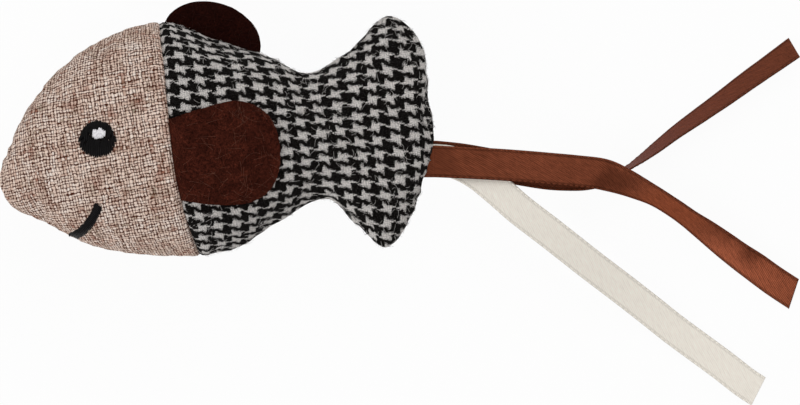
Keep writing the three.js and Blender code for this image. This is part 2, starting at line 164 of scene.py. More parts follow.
class FishSizes(bpy.types.PropertyGroup):
    """Sizes of the toy"""

    fish_length: length("Fish length", "Nose tip to tail edge", 86.5)
    fish_depth: length("Fish depth", "Belly to back at the neck", 46.6)
    fish_thickness: length("Fish thickness", "Side to side at the neck before it lies flat", 29.6)
    neck_wave: length("Neck wave", "How far the neck seam swings either way", 0.56)
    neck_bow: length("Neck bow", "How far the neck seam bows towards the nose", 1.34)
    cloth: length("Cloth", "Thickness of the cover's cloth", 0.5)
    allowance: length("Seam allowance", "Cloth turned in at each seam", 2.5)
    linen_roll: length("Linen roll", "Radius of the head's turned edge", 0.3)
    wool_roll: length("Wool roll", "Radius of the body's turned edge", 0.35)
    felt: length("Felt", "Thickness of the fins", 1.2)
    fin_top: length("Fin seam top", "Top of the side fin's seam over the fish's axis", 3.9)
    fin_bottom: length("Fin seam bottom", "Bottom of the side fin's seam", -12.1)
    dorsal_length: length("Dorsal length", "Length of the dorsal fin along the back", 19.9)
    dorsal_height: length("Dorsal height", "Height of the dorsal fin over the back", 7.2)
    eye_radius: length("Eye radius", "Radius of the stitched eye", 3.7)
    mouth_width: length("Mouth width", "Width of the stitched mouth", 1.65)
    thread: length("Embroidery thread", "Diameter of the face's thread", 0.42)
    ribbon_width: length("Ribbon width", "Quarter-inch ribbon", 6.35)
    ribbon_thickness: length("Ribbon thickness", "Thickness of the satin", 0.26)
    ribbon_bead: length("Selvedge bead", "Spacing of the beads along a ribbon's edge", 1.2)
    panel_rows: face_count("Panel rows", "Rows of faces along a panel", 120)
    panel_columns: face_count("Panel columns", "Faces across a panel", 110)


class FishColours(bpy.types.PropertyGroup):
    """Colours of the toy"""

    linen_light: colour("Linen light", "Palest linen yarn", "#FFF0E5")
    linen_mid: colour("Linen mid", "Common linen yarn", "#F1D6C5")
    # Painted shade: the colour that darkens the gaps between the linen's yarns.
    linen_gap_shade: colour("Linen dark", "Gap between linen yarns", "#4E2718")
    linen_slub: colour("Linen slub", "Pinkish brown linen yarn", "#A2705E")
    linen_dull: colour("Linen dull", "Olive grey linen yarn", "#A59784")
    wool_light: colour("Wool light", "Pale wool yarn", "#E6E1DD")
    wool_dark: colour("Wool dark", "Black wool yarn", "#080504")
    felt: colour("Felt", "Brown felt", "#2F120C")
    felt_fibre: colour("Felt fibre", "Reddish fibre in the felt", "#6E3526")
    felt_edge: colour("Felt edge", "Cut edge of the felt", "#45271A")
    # Painted shade: the dorsal fin's felt is coloured darker than the side fins' to stand for the shade it
    # lies in.
    dorsal_felt_painted_shade: colour("Dorsal felt", "Darker brown felt of the dorsal fin", "#200B08")
    brown_satin: colour("Brown satin", "Brown ribbon", "#824630")
    cream_satin: colour("Cream satin", "Cream ribbon", "#FFF8EC")
    black_thread: colour("Black thread", "Eye and mouth", "#0D0B0C")
    white_thread: colour("White thread", "Eye highlight", "#F6F4F7")
    fibre: colour("Fibre", "Stuffing", "#F2F0EC")


def sizes():
    return bpy.context.scene.cat_toy_sizes


def colours():
    return bpy.context.scene.cat_toy_colours


# Places

SIDES = (("near", 1), ("far", -1))
SEWN_END_GAP = 0.15 * MM  # from a ribbon's sewn end to the line it bends on
NOSE_TO_BEND = 87.2 * MM
AXIS_OVER_ROOT = 4 * MM
CLEAR_OF_FISH = 60 * MM
ROOT_LOW, ROOT_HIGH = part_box("ribbon_cream_sewn_end")
SEAM_Z = (ROOT_LOW.z + ROOT_HIGH.z) / 2
BEND_X = ROOT_HIGH.x + SEWN_END_GAP
RIBBON_ROOT_Y = (ROOT_LOW.y + ROOT_HIGH.y) / 2
NOSE_TIP = Vector((BEND_X - NOSE_TO_BEND, RIBBON_ROOT_Y + AXIS_OVER_ROOT, 0))


def on_fish(place):
    """A place in plan from hundredths of the fish's length and depth."""
    along, over = place
    return NOSE_TIP + Vector((along / 100 * sizes().fish_length, over / 100 * sizes().fish_depth, 0))


def eased(start, end, leave, arrive, share):
    """A value of the cubic from start to end that leaves and arrives at given rates."""
    bend = (end - start) * 3 - leave * 2 - arrive
    twist = (start - end) * 2 + leave + arrive
    return start + leave * share + bend * share**2 + twist * share**3


def curve_point(points, place, closed=False):
    """A point of a smooth curve through points, at a place counted in points."""
    count = len(points)
    at = math.floor(place) if closed else min(math.floor(place), count - 2)

    def knot(index):
        if closed:
            return points[index % count]
        if index < 0:
            return points[0] * 2 - points[1]
        if index >= count:
            return points[-1] * 2 - points[-2]
        return points[index]

    before, start, end, after = (knot(at + step) for step in (-1, 0, 1, 2))
    spans = ((before, start), (start, end), (end, after))
    first, middle, last = (math.sqrt((b - a).length) for a, b in spans)
    leave = ((start - before) / first - (end - before) / (first + middle) + (end - start) / middle) * middle
    arrive = ((end - start) / middle - (after - start) / (middle + last) + (after - end) / last) * middle
    return eased(start, end, leave, arrive, place - at)


def smooth_value(values, place):
    """A value of a smooth run through values, at a place counted in values."""
    count = len(values)
    at = min(math.floor(place), count - 2)
    before, start, end, after = (values[min(max(at + step, 0), count - 1)] for step in (-1, 0, 1, 2))
    return eased(start, end, (end - before) / 2, (after - start) / 2, place - at)


def smooth_step(low, high, value):
    share = min(max((value - low) / (high - low), 0), 1)
    return share * share * (3 - 2 * share)


def edge_seam():
    """The closed edge seam in plan, from the nose along the back and home along the belly."""
    backs = [section[0] for section in SECTIONS]
    bellies = [section[1] for section in SECTIONS]
    return [on_fish(place) for place in (NOSE, *backs, TAIL_END, *reversed(bellies))]


def row_of(section, seam):
    """The belly end, back end, swell, wave and bow of the cover's row at a section."""
    back = curve_point(seam, section, True)
    belly = curve_point(seam, len(seam) - section, True)
    swells = [0, *(each[2] for each in SECTIONS), 0]
    swell = smooth_value(swells, section) / 100 * sizes().fish_thickness / 2
    near_neck = max(0, 1 - abs(section - NECK) / NECK_WAVE_REACH)
    return belly, back, swell, sizes().neck_wave * near_neck, sizes().neck_bow * near_neck


def row_point(row, across, side):
    """A point of the stuffed cover, from the belly seam at -1 to the back seam at 1."""
    belly, back, swell, wave, bow = row
    point = belly.lerp(back, (across + 1) / 2)
    crown = max(0, 1 - abs(across) ** CROWN_POWER) ** CROWN_ROUNDNESS
    point.x += wave * math.sin(math.pi * across) - bow * math.cos(math.pi / 2 * across)
    point.z = SEAM_Z + side * swell * crown
    return point


def neck_point(y):
    """Where the neck seam stands in plan at a given height over the fish's axis."""
    row = row_of(NECK, edge_seam())
    low, high = -1.0, 1.0
    while high - low > 1e-4:
        middle = (low + high) / 2
        if row_point(row, middle, 1).y < NOSE_TIP.y + y:
            low = middle
        else:
            high = middle
    found = row_point(row, low, 1)
    return Vector((found.x, found.y, 0))


def runs_along(line, start=0):
    """Signed distance of each point of a line from its point at start."""
    runs = [0.0] * len(line)
    for at in range(start + 1, len(line)):
        runs[at] = runs[at - 1] + (line[at] - line[at - 1]).length
    for at in range(start - 1, -1, -1):
        runs[at] = runs[at + 1] - (line[at] - line[at + 1]).length
    return runs


def spaced(runs, count):
    """Even steps along runs: for each, the entry before it and its share of the way to the next."""
    at = 0
    for step in range(count):
        run = runs[-1] * step / (count - 1)
        while at < len(runs) - 2 and runs[at + 1] < run:
            at += 1
        yield at, (run - runs[at]) / max(runs[at + 1] - runs[at], 1e-12)


def smooth_line(knots, steps, count):
    """count points evenly spaced along the smooth curve through knots, which is drawn in steps."""
    last = len(knots) - 1
    points = [curve_point(knots, last * step / steps) for step in range(steps + 1)]
    return [points[at].lerp(points[at + 1], share) for at, share in spaced(runs_along(points), count)]


def dorsal_seam():
    """Ends in plan of the stretch of the back seam that holds the dorsal fin."""
    return on_fish(SECTIONS[NECK - 1][0]), on_fish(SECTIONS[RUMP - 1][0])


def side_fin_rim(from_neck, count):
    """The side fin's rim in plan from the top of its seam edge round to the bottom."""
    top, bottom = sizes().fin_top, sizes().fin_bottom
    middle = (top + bottom) / 2
    anchor = Vector((neck_point(middle).x, NOSE_TIP.y + middle, 0))
    ahead = Vector((from_neck, 0, 0))
    rim = [anchor + Vector((x * MM, y * MM, 0)) for x, y in SIDE_FIN_RIM]
    return smooth_line([neck_point(top) + ahead, *rim, neck_point(bottom) + ahead], 400, count)


# Meshes


def laid_grid(points, weave, outward):
    """A grid of quads through rows of points, with the cloth's own millimetres as its map."""
    rows, columns = len(points) - 1, len(points[0]) - 1
    made = bmesh.new()
    bmesh.ops.create_grid(made, x_segments=columns, y_segments=rows, size=0.5)
    layer = made.loops.layers.uv.new("weave")
    spots = {v: (round((v.co.y + 0.5) * rows), round((v.co.x + 0.5) * columns)) for v in made.verts}
    for face in made.faces:
        for loop in face.loops:
            row, column = spots[loop.vert]
            loop[layer].uv = weave[row][column]
    for vertex, (row, column) in spots.items():
        vertex.co = points[row][column]
    bmesh.ops.remove_doubles(made, verts=made.verts, dist=1e-7)
    made.normal_update()
    if sum(face.normal.dot(outward) * face.calc_area() for face in made.faces) < 0:
        bmesh.ops.reverse_faces(made, faces=made.faces)
    made.normal_update()
    return made


def placed(name, data):
    """A new object in the scene."""
    piece = bpy.data.objects.new(name, data)
    bpy.context.scene.collection.objects.link(piece)
    return piece


def new_piece(name, made, finishes):
    """A smooth mesh object from a bmesh."""
    mesh = bpy.data.meshes.new(name)
    made.to_mesh(mesh)
    made.free()
    for finish in finishes:
        mesh.materials.append(finish)
    mesh.shade_smooth()
    return placed(name, mesh)


def apply_modifiers(piece):
    """Makes what a piece's modifiers give its own mesh."""
    seen = piece.evaluated_get(bpy.context.evaluated_depsgraph_get())
    mesh = bpy.data.meshes.new_from_object(seen)
    piece.modifiers.clear()
    piece.data = mesh
    mesh.name = piece.name


def on_fish_body(piece, node, slot):
    """Fixes a piece to the fish's body in place of a solid."""
    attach(piece, "fish")
    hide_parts(node)


def modified(piece, kind, **settings):
    """Gives a piece a modifier."""
    modifier = piece.modifiers.new(kind, kind)
    for name, value in settings.items():
        setattr(modifier, name, value)
    return modifier


def thread_mesh(name, lines, radius, finish, sides=2):
    """Round threads along lines of (point, share of the radius)."""
    curve = bpy.data.curves.new(name, "CURVE")
    curve.dimensions = "3D"
    curve.bevel_depth = radius
    curve.bevel_resolution = sides
    curve.resolution_u = 1
    curve.use_fill_caps = True
    for line in lines:
        spline = curve.splines.new("POLY")
        spline.points.add(len(line) - 1)
        for point, (place, share) in zip(spline.points, line):
            point.co = (*place, 1)
            point.radius = share
    drawn = placed(name + "_line", curve)
    bpy.context.view_layer.update()
    seen = drawn.evaluated_get(bpy.context.evaluated_depsgraph_get())
    mesh = bpy.data.meshes.new_from_object(seen)
    bpy.data.objects.remove(drawn)
    mesh.name = name
    mesh.materials.clear()
    mesh.materials.append(finish)
    mesh.shade_smooth()
    return mesh


def joined(piece, mesh, finish_index):
    """Adds a mesh to a piece, under one of the piece's finishes."""
    made = bmesh.new()
    made.from_mesh(piece.data)
    before = len(made.faces)
    made.from_mesh(mesh)
    made.faces.ensure_lookup_table()
    for face in made.faces[before:]:
        face.material_index = finish_index
    made.to_mesh(piece.data)
    made.free()
    bpy.data.meshes.remove(mesh)


def surface_of(*names):
    """The pieces' surfaces, for laying others on them."""
    depsgraph = bpy.context.evaluated_depsgraph_get()
    return [BVHTree.FromObject(bpy.data.objects[name], depsgraph) for name in names]


def mesh_surface(mesh):
    """A mesh's surface, for lines that lie on it."""
    return BVHTree.FromPolygons([v.co for v in mesh.vertices], [p.vertices[:] for p in mesh.polygons])


def lying_line(surface, spot, way, chance, turns_with_cloth, curl, reach, lift, gap, taper):
    """A loose fibre from a spot on a surface, over the table, as (point, share of the radius)."""
    aside = way.orthogonal().normalized()
    aside.rotate(Matrix.Rotation(chance.uniform(0, 2 * math.pi), 3, way))
    curl = chance.uniform(-curl, curl)
    reach = chance.uniform(*reach) * MM
    lift = chance.uniform(*lift) * MM
    line = []
    for part in range(LOOSE_PARTS + 1):
        near, normal, _, _ = surface.find_nearest(spot)
        raised = near + normal * (gap * MM + lift * part / LOOSE_PARTS)
        raised.z = max(raised.z, 0)
        line.append((raised, 1 - taper * part))
        turning = normal if turns_with_cloth else way
        aside.rotate(Matrix.Rotation(curl / LOOSE_PARTS, 3, turning))
        spot = near + aside * reach / LOOSE_PARTS
    return line


def laid_on(trees, place, side):
    """The outermost point over a place in plan on the near or far side, or None."""
    found = None
    for tree in trees:
        above = Vector((place.x, place.y, SEAM_Z + side * CLEAR_OF_FISH))
        hit = tree.ray_cast(above, Vector((0, 0, -side)))[0]
        if hit is not None and (found is None or (hit.z - found.z) * side > 0):
            found = hit
    return found


# Finishes


def add(tree, kind, links, **settings):
    """Adds a node with its settings. Links give each input a value or another node's output."""
    node = tree.nodes.new("ShaderNode" + kind)
    for name, value in settings.items():
        setattr(node, name, value)
    for key, value in links.items():
        if isinstance(value, bpy.types.Node):
            value = value.outputs[0]
        if isinstance(value, bpy.types.NodeSocket):
            tree.links.new(value, node.inputs[key])
        else:
            node.inputs[key].default_value = value
    return node


def maths(tree, operation, *values, **settings):
    """A sum of single values."""
    return add(tree, "Math", dict(enumerate(values)), operation=operation, **settings)


def vectors(tree, operation, *values):
    """A sum of vectors."""
    return add(tree, "VectorMath", dict(enumerate(values)), operation=operation)


def parts(tree, vector):
    """A vector's three values."""
    return add(tree, "SeparateXYZ", {0: vector}).outputs


def ranged(tree, value, low, high, first=0, last=1, **settings):
    """A value's stretch from low to high, as one from first to last."""
    return add(tree, "MapRange", {0: value, 1: low, 2: high, 3: first, 4: last}, **settings)


def grained(tree, place, scale, detail, **more):
    """Noise at a scale."""
    return add(tree, "TexNoise", {"Vector": place, "Scale": scale, "Detail": detail, **more})


def laid_out(tree, place, turn, scale, **more):
    """A place counted in turned tiles of a size."""
    links = {"Vector": place, "Rotation": (0, 0, turn), "Scale": scale, **more}
    return add(tree, "Mapping", links, vector_type="TEXTURE")


def mixed(tree, share, *pair):
    """Two colours mixed by a share of the second."""
    first, second = (each if isinstance(each, bpy.types.NodeSocket) else (*each, 1) for each in pair)
    return add(tree, "Mix", {0: share, 6: first, 7: second}, data_type="RGBA").outputs[2]


def woven_place(tree):
    """The cloth's own millimetres."""
    return add(tree, "UVMap", {}, uv_map="weave")


def object_place(tree):
    """The piece's own metres."""
    return add(tree, "TexCoord", {}).outputs["Object"]


def new_finish(name):
    """A fresh material and its node tree."""
    finish = bpy.data.materials.new(name)
    finish.use_nodes = True
    return finish, finish.node_tree


def dressed(finish, paint, relief, strength, depth, constants):
    """Gives a finish its colour, its relief and the shader's constants."""
    tree = finish.node_tree
    shader = tree.nodes["Principled BSDF"]
    bump = add(tree, "Bump", {"Strength": strength, "Distance": depth, "Height": relief})
    tree.links.new(paint, shader.inputs["Base Color"])
    tree.links.new(bump.outputs[0], shader.inputs["Normal"])
    for name, value in constants.items():
        shader.inputs[name].default_value = value
    return finish


# Plain-woven linen look-alike of uneven yarns, cream to pinkish brown: each yarn shows as a pale
# rounded top where it crosses over, with painted shade darkening its sides and the gaps between,
# and a thick yarn rides over several in a row. Yarn spacing 0.6 by 0.62 mm.
def linen_cloth():
    finish, tree = new_finish("linen_look_plain_weave")
    paint = colours()
    cloth = woven_place(tree)
    drift = grained(tree, cloth, 0.5, 3, Roughness=0.7).outputs["Color"]
    shaken = vectors(tree, "MULTIPLY_ADD", drift, (1, 1, 0), cloth)
    even = parts(tree, laid_out(tree, shaken, math.radians(10), (0.6, 0.62, 1)))
    spread = []
    for way in (0, 1):
        slow = maths(tree, "MULTIPLY", even[1 - way], 0.03)
        lane = add(tree, "CombineXYZ", {0: even[way], 1: slow, 2: 9.0 * way})
        spread.append(maths(tree, "MULTIPLY_ADD", grained(tree, lane, 0.4, 2), 1.6, even[way]))
    yarn = add(tree, "CombineXYZ", {0: spread[0], 1: spread[1]})
    cell = parts(tree, vectors(tree, "FLOOR", yarn))
    part = parts(tree, vectors(tree, "FRACTION", yarn))
    turn = maths(tree, "FLOORED_MODULO", maths(tree, "ADD", cell[0], cell[1]), 2)
    rounds, tones, girths = [], [], []
    for way in (0, 1):
        rounds.append(maths(tree, "SINE", maths(tree, "MULTIPLY", part[way], math.pi)))
        apart = maths(tree, "MULTIPLY", cell[way], 7.3)
        along = maths(tree, "MULTIPLY", spread[1 - way], 0.11)
        for found, layer in ((tones, 40.0 * way), (girths, 40.0 * way + 17)):
            streak = add(tree, "CombineXYZ", {0: along, 1: apart, 2: layer})
            found.append(grained(tree, streak, 1, 3, Roughness=0.65))
    heavier = maths(tree, "SUBTRACT", girths[0], girths[1])
    over = maths(tree, "MULTIPLY_ADD", heavier, 2.6, turn, use_clamp=True)
    rises = []
    for way in (0, 1):
        arch = maths(tree, "MULTIPLY_ADD", rounds[1 - way], 0.55, 0.45)
        rises.append(maths(tree, "MULTIPLY", rounds[way], arch))
    rise, tone = (add(tree, "Mix", {0: over, 2: pair[1], 3: pair[0]}) for pair in (rises, tones))
    dyed = maths(tree, "MULTIPLY_ADD", grained(tree, cloth, 0.2, 3), 0.4, tone)
    dull = ranged(tree, grained(tree, cloth, 0.33, 2), 0.45, 0.62)
    slub = mixed(tree, dull, paint.linen_slub, paint.linen_dull)
    brown = mixed(tree, ranged(tree, dyed, 0.5, 0.7), slub, paint.linen_mid)
    cream = mixed(tree, ranged(tree, dyed, 0.68, 0.88), brown, paint.linen_light)
    uneven = grained(tree, shaken, 1.5, 2, Roughness=0.6)
    # Painted shade: where the yarns dip and between them, the colour darkens towards the gap shade.
    gap_shade_mask = maths(tree, "ADD", ranged(tree, uneven, 0.3, 0.7, -0.42, 0.26), rise)
    woven = mixed(tree, ranged(tree, gap_shade_mask, 0.12, 0.62), paint.linen_gap_shade, cream)
    return dressed(finish, woven, rise, 0.6, 0.2 * MM, {"Roughness": 0.9, "Specular IOR Level": 0.1})


# Brushed wool in houndstooth: pale four-pointed checks on black, each a block with one point on
# every side, turned like a pinwheel. The nap frays their edges, and the twill's yarns show
# faintly through it with painted shade: their rounded tops lighter, their sides darker.
# Repeat 3.7 by 2.74 mm, of eight yarns each way.
def houndstooth_wool():
    finish, tree = new_finish("brushed_houndstooth_wool")
    paint = colours()
    repeat = (3.7, 2.74, 1)
    yarns = 8
    cloth = woven_place(tree)
    drift = grained(tree, cloth, 0.2, 2).outputs["Color"]
    slow = vectors(tree, "MULTIPLY_ADD", drift, (2, 1.8, 0), cloth)
    nap = grained(tree, cloth, 2.3, 5, Roughness=0.75).outputs["Color"]
    fuzzy = vectors(tree, "MULTIPLY_ADD", nap, (0.95, 0.85, 0), slow)
    tile = laid_out(tree, fuzzy, math.radians(7), repeat)
    yarn = vectors(tree, "MULTIPLY", tile, (yarns, yarns, 1))
    cell = vectors(tree, "FLOOR", yarn)
    centre = 0.5 / yarns
    crossing = vectors(tree, "MULTIPLY_ADD", cell, (1 / yarns, 1 / yarns, 1), (centre, centre, 0))
    stepped = add(tree, "Mix", {0: 0.6, 4: tile, 5: crossing}, data_type="VECTOR").outputs[1]
    middle = vectors(tree, "SUBTRACT", vectors(tree, "FRACTION", stepped), (0.5, 0.5, 0))
    check = vectors(tree, "MULTIPLY", middle, repeat)
    inset = parts(tree, vectors(tree, "SUBTRACT", (0.82, 0.6, 0), vectors(tree, "ABSOLUTE", check)))
    star = maths(tree, "MINIMUM", inset[0], inset[1])
    hand = parts(tree, vectors(tree, "SIGN", check))
    # Each point of a check is what two slanting edges leave: the edges' inward directions and
    # offsets in millimetres, for the points above and below, then for those at the sides.
    for way, edges in (
        (1, (((0.94, -0.342, 0), 1.0), ((-0.849, -0.528, 0), 0.24))),
        (0, (((-0.335, -0.942, 0), 0.8), ((-0.167, 0.986, 0), 0.14))),
    ):
        half = vectors(tree, "MULTIPLY", check, hand[way])
        point = inset[1 - way]
        for facing, offset in edges:
            reach = vectors(tree, "DOT_PRODUCT", half, facing).outputs["Value"]
            point = maths(tree, "MINIMUM", point, maths(tree, "ADD", reach, offset))
        star = maths(tree, "MAXIMUM", star, point)
    fleck = grained(tree, cloth, 4.2, 5, Roughness=0.75)
    frayed = maths(tree, "ADD", ranged(tree, fleck, 0.3, 0.7, -0.3, 0.3), star)
    pale = ranged(tree, frayed, -0.15, 0.16, interpolation_type="SMOOTHSTEP")
    worn = maths(tree, "MULTIPLY", pale, ranged(tree, fleck, 0.3, 0.7, 0.6, 1.15))
    hazed = maths(tree, "MAXIMUM", worn, ranged(tree, fleck, 0.52, 0.8, 0, 0.14))
    dyed = mixed(tree, hazed, paint.wool_dark, paint.wool_light)
    step = vectors(tree, "DOT_PRODUCT", cell, (1, -1, 0)).outputs["Value"]
    over = maths(tree, "LESS_THAN", maths(tree, "FLOORED_MODULO", step, 4), 1.5)
    # Painted shade on the twill's yarns: each yarn's rounded top is painted lighter and its sides darker.
    turned = vectors(tree, "MULTIPLY", vectors(tree, "FRACTION", yarn), (math.pi, math.pi, 0))
    rounds = parts(tree, vectors(tree, "SINE", turned))
    rise = add(tree, "Mix", {0: over, 2: rounds[1], 3: rounds[0]})
    toned = vectors(tree, "MULTIPLY", dyed, ranged(tree, rise, 0, 1, 0.55, 1.14)).outputs[0]
    relief = maths(tree, "MULTIPLY_ADD", rise, 0.3, fleck)
    return dressed(finish, toned, relief, 0.6, 0.2 * MM, {
        "Roughness": 1, "Specular IOR Level": 0.03, "Sheen Weight": 0.01, "Sheen Roughness": 0.6})


# Pressed wool-mix felt: matted fibres lie every way, so it is matt and very dark, with fine reddish
# fibres and a paler cut edge. Fibres are 0.05 mm and drawn 0.12 mm thick to show.
def pressed_felt(name, base, strand_colour):
    finish, tree = new_finish(name)
    place = object_place(tree)
    mottle = grained(tree, place, 2400, 2, Roughness=0.7)
    patch = grained(tree, place, 420, 4, Roughness=0.6)
    fibres = 0
    for turn, seed in ((0.35, 1.3), (1.2, 7.1), (1.9, 9.9), (2.7, 13.7)):
        laid = laid_out(tree, place, turn, (5 * MM, 0.34 * MM, 0.5 * MM), Location=(seed, seed, 0))
        strand = grained(tree, laid, 1, 2, Distortion=0.3)
        line = maths(tree, "ABSOLUTE", maths(tree, "SUBTRACT", strand, 0.5))
        mark = ranged(tree, line, 0, 0.04, 1, 0)
        fibres = maths(tree, "MAXIMUM", fibres, mark)
    share = maths(tree, "MULTIPLY", fibres, ranged(tree, patch, 0.35, 0.65, 0.2, 0.5))
    fine, broad = ranged(tree, mottle, 0.3, 0.7, 0.5, 1.5), ranged(tree, patch, 0.3, 0.7, 0.92, 1.14)
    matted = mixed(tree, share, base, strand_colour)
    toned = vectors(tree, "MULTIPLY", matted, maths(tree, "MULTIPLY", fine, broad)).outputs[0]
    relief = maths(tree, "MULTIPLY_ADD", fibres, 0.4, mottle)
    return dressed(finish, toned, relief, 0.6, 0.2 * MM, {
        "Roughness": 1, "Specular IOR Level": 0.03, "Sheen Weight": 0.05, "Sheen Roughness": 0.5,
        "Sheen Tint": (*linear("#8A5A48"), 1)})


# Polyester satin: long floats give a soft, coloured gloss that falls off where the ribbon turns from
# the light, with fine slanting streaks and a duller woven selvedge. Streaks are 0.1 mm apart and
# drawn 0.36 mm apart to show.
def satin(name, rgb, gloss, roughness, streaking):
    finish, tree = new_finish(name)
    half = sizes().ribbon_width / 2 / MM
    cloth = woven_place(tree)
    rib = laid_out(tree, cloth, math.radians(-64), (0.36, 2.4, 1))
    wave = maths(tree, "SINE", maths(tree, "MULTIPLY", parts(tree, rib)[0], 2 * math.pi))
    grain = grained(tree, rib, 1.1, 3, Roughness=0.7)
    cloudy = ranged(tree, grain, 0.25, 0.75, 1 - 0.4 * streaking, 1 + 0.4 * streaking)
    tone = maths(tree, "MULTIPLY_ADD", wave, 0.18 * streaking, cloudy)
    aside = maths(tree, "ABSOLUTE", parts(tree, cloth)[1])
    selvedge = ranged(tree, aside, half - 0.75, half - 0.55, 1, 1 - 0.4 * streaking**0.7)
    toned = vectors(tree, "MULTIPLY", rgb, maths(tree, "MULTIPLY", tone, selvedge)).outputs[0]
    relief = maths(tree, "MULTIPLY_ADD", grain, 1.5, wave)
    return dressed(finish, toned, relief, 0.15 * streaking, 0.06 * MM, {
        "Metallic": gloss, "Roughness": roughness, "Specular IOR Level": 0.15,
        "Specular Tint": (*(c**0.5 for c in rgb), 1)})


# Rayon embroidery thread: smooth, tightly twisted and slightly shiny, with thin paler lines.
def embroidery_thread(name, rgb):
    finish, tree = new_finish(name)
    ply = grained(tree, object_place(tree), 2600, 3, Roughness=0.6)
    toned = vectors(tree, "MULTIPLY", rgb, ranged(tree, ply, 0.3, 0.7, 0.75, 1.25)).outputs[0]
    return dressed(finish, toned, ply, 0.3, 0.05 * MM, {"Roughness": 0.5, "Specular IOR Level": 0.12})


# Loose polyester fibre fill: a white cloudy tangle.
def polyester_fibre():
    finish, tree = new_finish("polyester_fibre_fill")
    tangle = grained(tree, object_place(tree), 700, 6, Roughness=0.7, Distortion=1.5)
    tint = ranged(tree, tangle, 0.3, 0.7, 0.8, 1.03)
    toned = vectors(tree, "MULTIPLY", colours().fibre, tint).outputs[0]
    return dressed(finish, toned, tangle, 0.8, 0.5 * MM, {"Roughness": 1})


# Stage

# In millimetres: this much of the seam plane fills the picture's width from the camera's height.
PICTURE_WIDTH = 160
CAMERA_HEIGHT = 1200
SEAM_HEIGHT = 13.6
PICTURE_MIDDLE = -12.5  # across the fish, from its axis
FLOOR_DROP = 0.05 * MM
FLOOR_GLOW = 0.95  # share of the floor that is plain white to the eye
ROOM_LIGHT = 0.29
# Each lamp's name, place, size in metres and power in watts.
LAMPS = (
    ("belly_softbox", (-0.94, -0.79, 0.86), 1.6, 13),
    ("back_softbox", (0.39, 1.08, 0.96), 1.4, 10),
    ("tail_softbox", (0.82, -0.06, 1.37), 0.8, 1.1),
)


class CATTOY_OT_stage(bpy.types.Operator):
    """Sets the camera straight over the toy, a white floor and soft light"""

    bl_idname = "cat_toy.stage"
    bl_label = "Stage"

    def execute(self, context):
        scene = context.scene
        scene.view_settings.view_transform = "Standard"
        camera = bpy.data.cameras.new("camera")
        camera.sensor_width = 36
        camera.sensor_fit = "HORIZONTAL"
        camera.lens = camera.sensor_width * (CAMERA_HEIGHT - SEAM_HEIGHT) / PICTURE_WIDTH
        seen = placed("camera", camera)
        seen.location = NOSE_TIP + Vector((PICTURE_WIDTH / 2 * MM, PICTURE_MIDDLE * MM, CAMERA_HEIGHT * MM))
        scene.camera = seen

        floor, tree = new_finish("white_paper_floor")
        shader = tree.nodes["Principled BSDF"]
        rays = add(tree, "LightPath", {}).outputs
        mirrored = maths(tree, "MAXIMUM", rays["Is Glossy Ray"], rays["Is Transmission Ray"])
        direct = maths(tree, "MAXIMUM", rays["Is Camera Ray"], mirrored)
        shader.inputs["Base Color"].default_value = (0.9, 0.9, 0.9, 1)
        shader.inputs["Roughness"].default_value = 1
        glow = add(tree, "Emission", {"Color": (1, 1, 1, 1), "Strength": 1})
        share = maths(tree, "MULTIPLY", direct, FLOOR_GLOW)
        both = add(tree, "MixShader", {0: share, 1: shader.outputs[0], 2: glow})
        tree.links.new(both.outputs[0], tree.nodes["Material Output"].inputs["Surface"])
        made = bmesh.new()
        bmesh.ops.create_grid(made, x_segments=8, y_segments=8, size=1.5)
        bmesh.ops.translate(made, verts=made.verts, vec=(0, 0, -FLOOR_DROP))
        new_piece("floor", made, [floor])

        world = bpy.data.worlds.new("soft_room")
        world.use_nodes = True
        sky = world.node_tree.nodes["Background"].inputs
        sky["Color"].default_value = (1, 1, 1, 1)
        sky["Strength"].default_value = ROOM_LIGHT
        scene.world = world
        for name, place, size, power in LAMPS:
            lamp = bpy.data.lights.new(name, "AREA")
            lamp.shape = "SQUARE"
            lamp.size = size
            lamp.energy = power
            hung = placed(name, lamp)
            hung.location = place
            hung.rotation_euler = Vector(place).to_track_quat("Z", "Y").to_euler()
        return {"FINISHED"}


# Ribbons

LEVEL = (Vector((0, -1, 0)), Vector((0, 0, 1)))  # right-hand edge and way up of a flat ribbon
RIBBON_TUCK = 0.3 * MM  # of a strip that stays inside the seam
TUCK_STEPS, STRIP_STEPS, END_STEPS, STRIP_COLUMNS = 8, 420, 30, 16
RIPPLE, RIPPLES_PER_M = 0.03 * MM, 300
CUT_RUN = 6 * MM  # over which a slanting end grows
ROLL_OUT, ROLL_BACK = (1.5 * MM, 5 * MM), (11 * MM, 6 * MM)  # where the extra lean comes and goes
BEAD_LINE = 0.93  # share of half the width
BEAD_RADIUS = 0.22 * MM


def ribbon_frames(route, root_z, extra_lean):
    """Centre, right-hand edge direction and way up along a ribbon's route, from just inside the tail.
    extra_lean adds a few degrees where the ribbon rolls on its way out."""
    knots = []
    for past, across, height, lean in route:
        half_rise = sizes().ribbon_width / 2 * abs(math.sin(math.radians(lean)))
        lies = height / 100 * root_z + half_rise
        knots.append(Vector((BEND_X + past * MM, RIBBON_ROOT_Y + across * MM, lies)))
    leans = [point[3] for point in route]
    last = len(knots) - 1
    frames = []
    for step in range(TUCK_STEPS):
        inside = Vector((RIBBON_TUCK * (TUCK_STEPS - step) / TUCK_STEPS, 0, 0))
        frames.append((knots[0] - inside, *LEVEL))
    for step in range(STRIP_STEPS + 1):
        place = last * step / STRIP_STEPS
        centre = curve_point(knots, place)
        ahead = curve_point(knots, min(place + 0.01, last))
        behind = curve_point(knots, max(place - 0.01, 0))
        along = (ahead - behind).normalized() if step else Vector((1, 0, 0))
        past = centre.x - BEND_X
        rolled = extra_lean * smooth_step(*ROLL_OUT, past) * smooth_step(*ROLL_BACK, past)
        lean = Matrix.Rotation(math.radians(smooth_value(leans, place) + rolled), 3, along)
        right = lean @ along.cross(Vector((0, 0, 1))).normalized()
        frames.append((centre, right, right.cross(along).normalized()))
    return frames


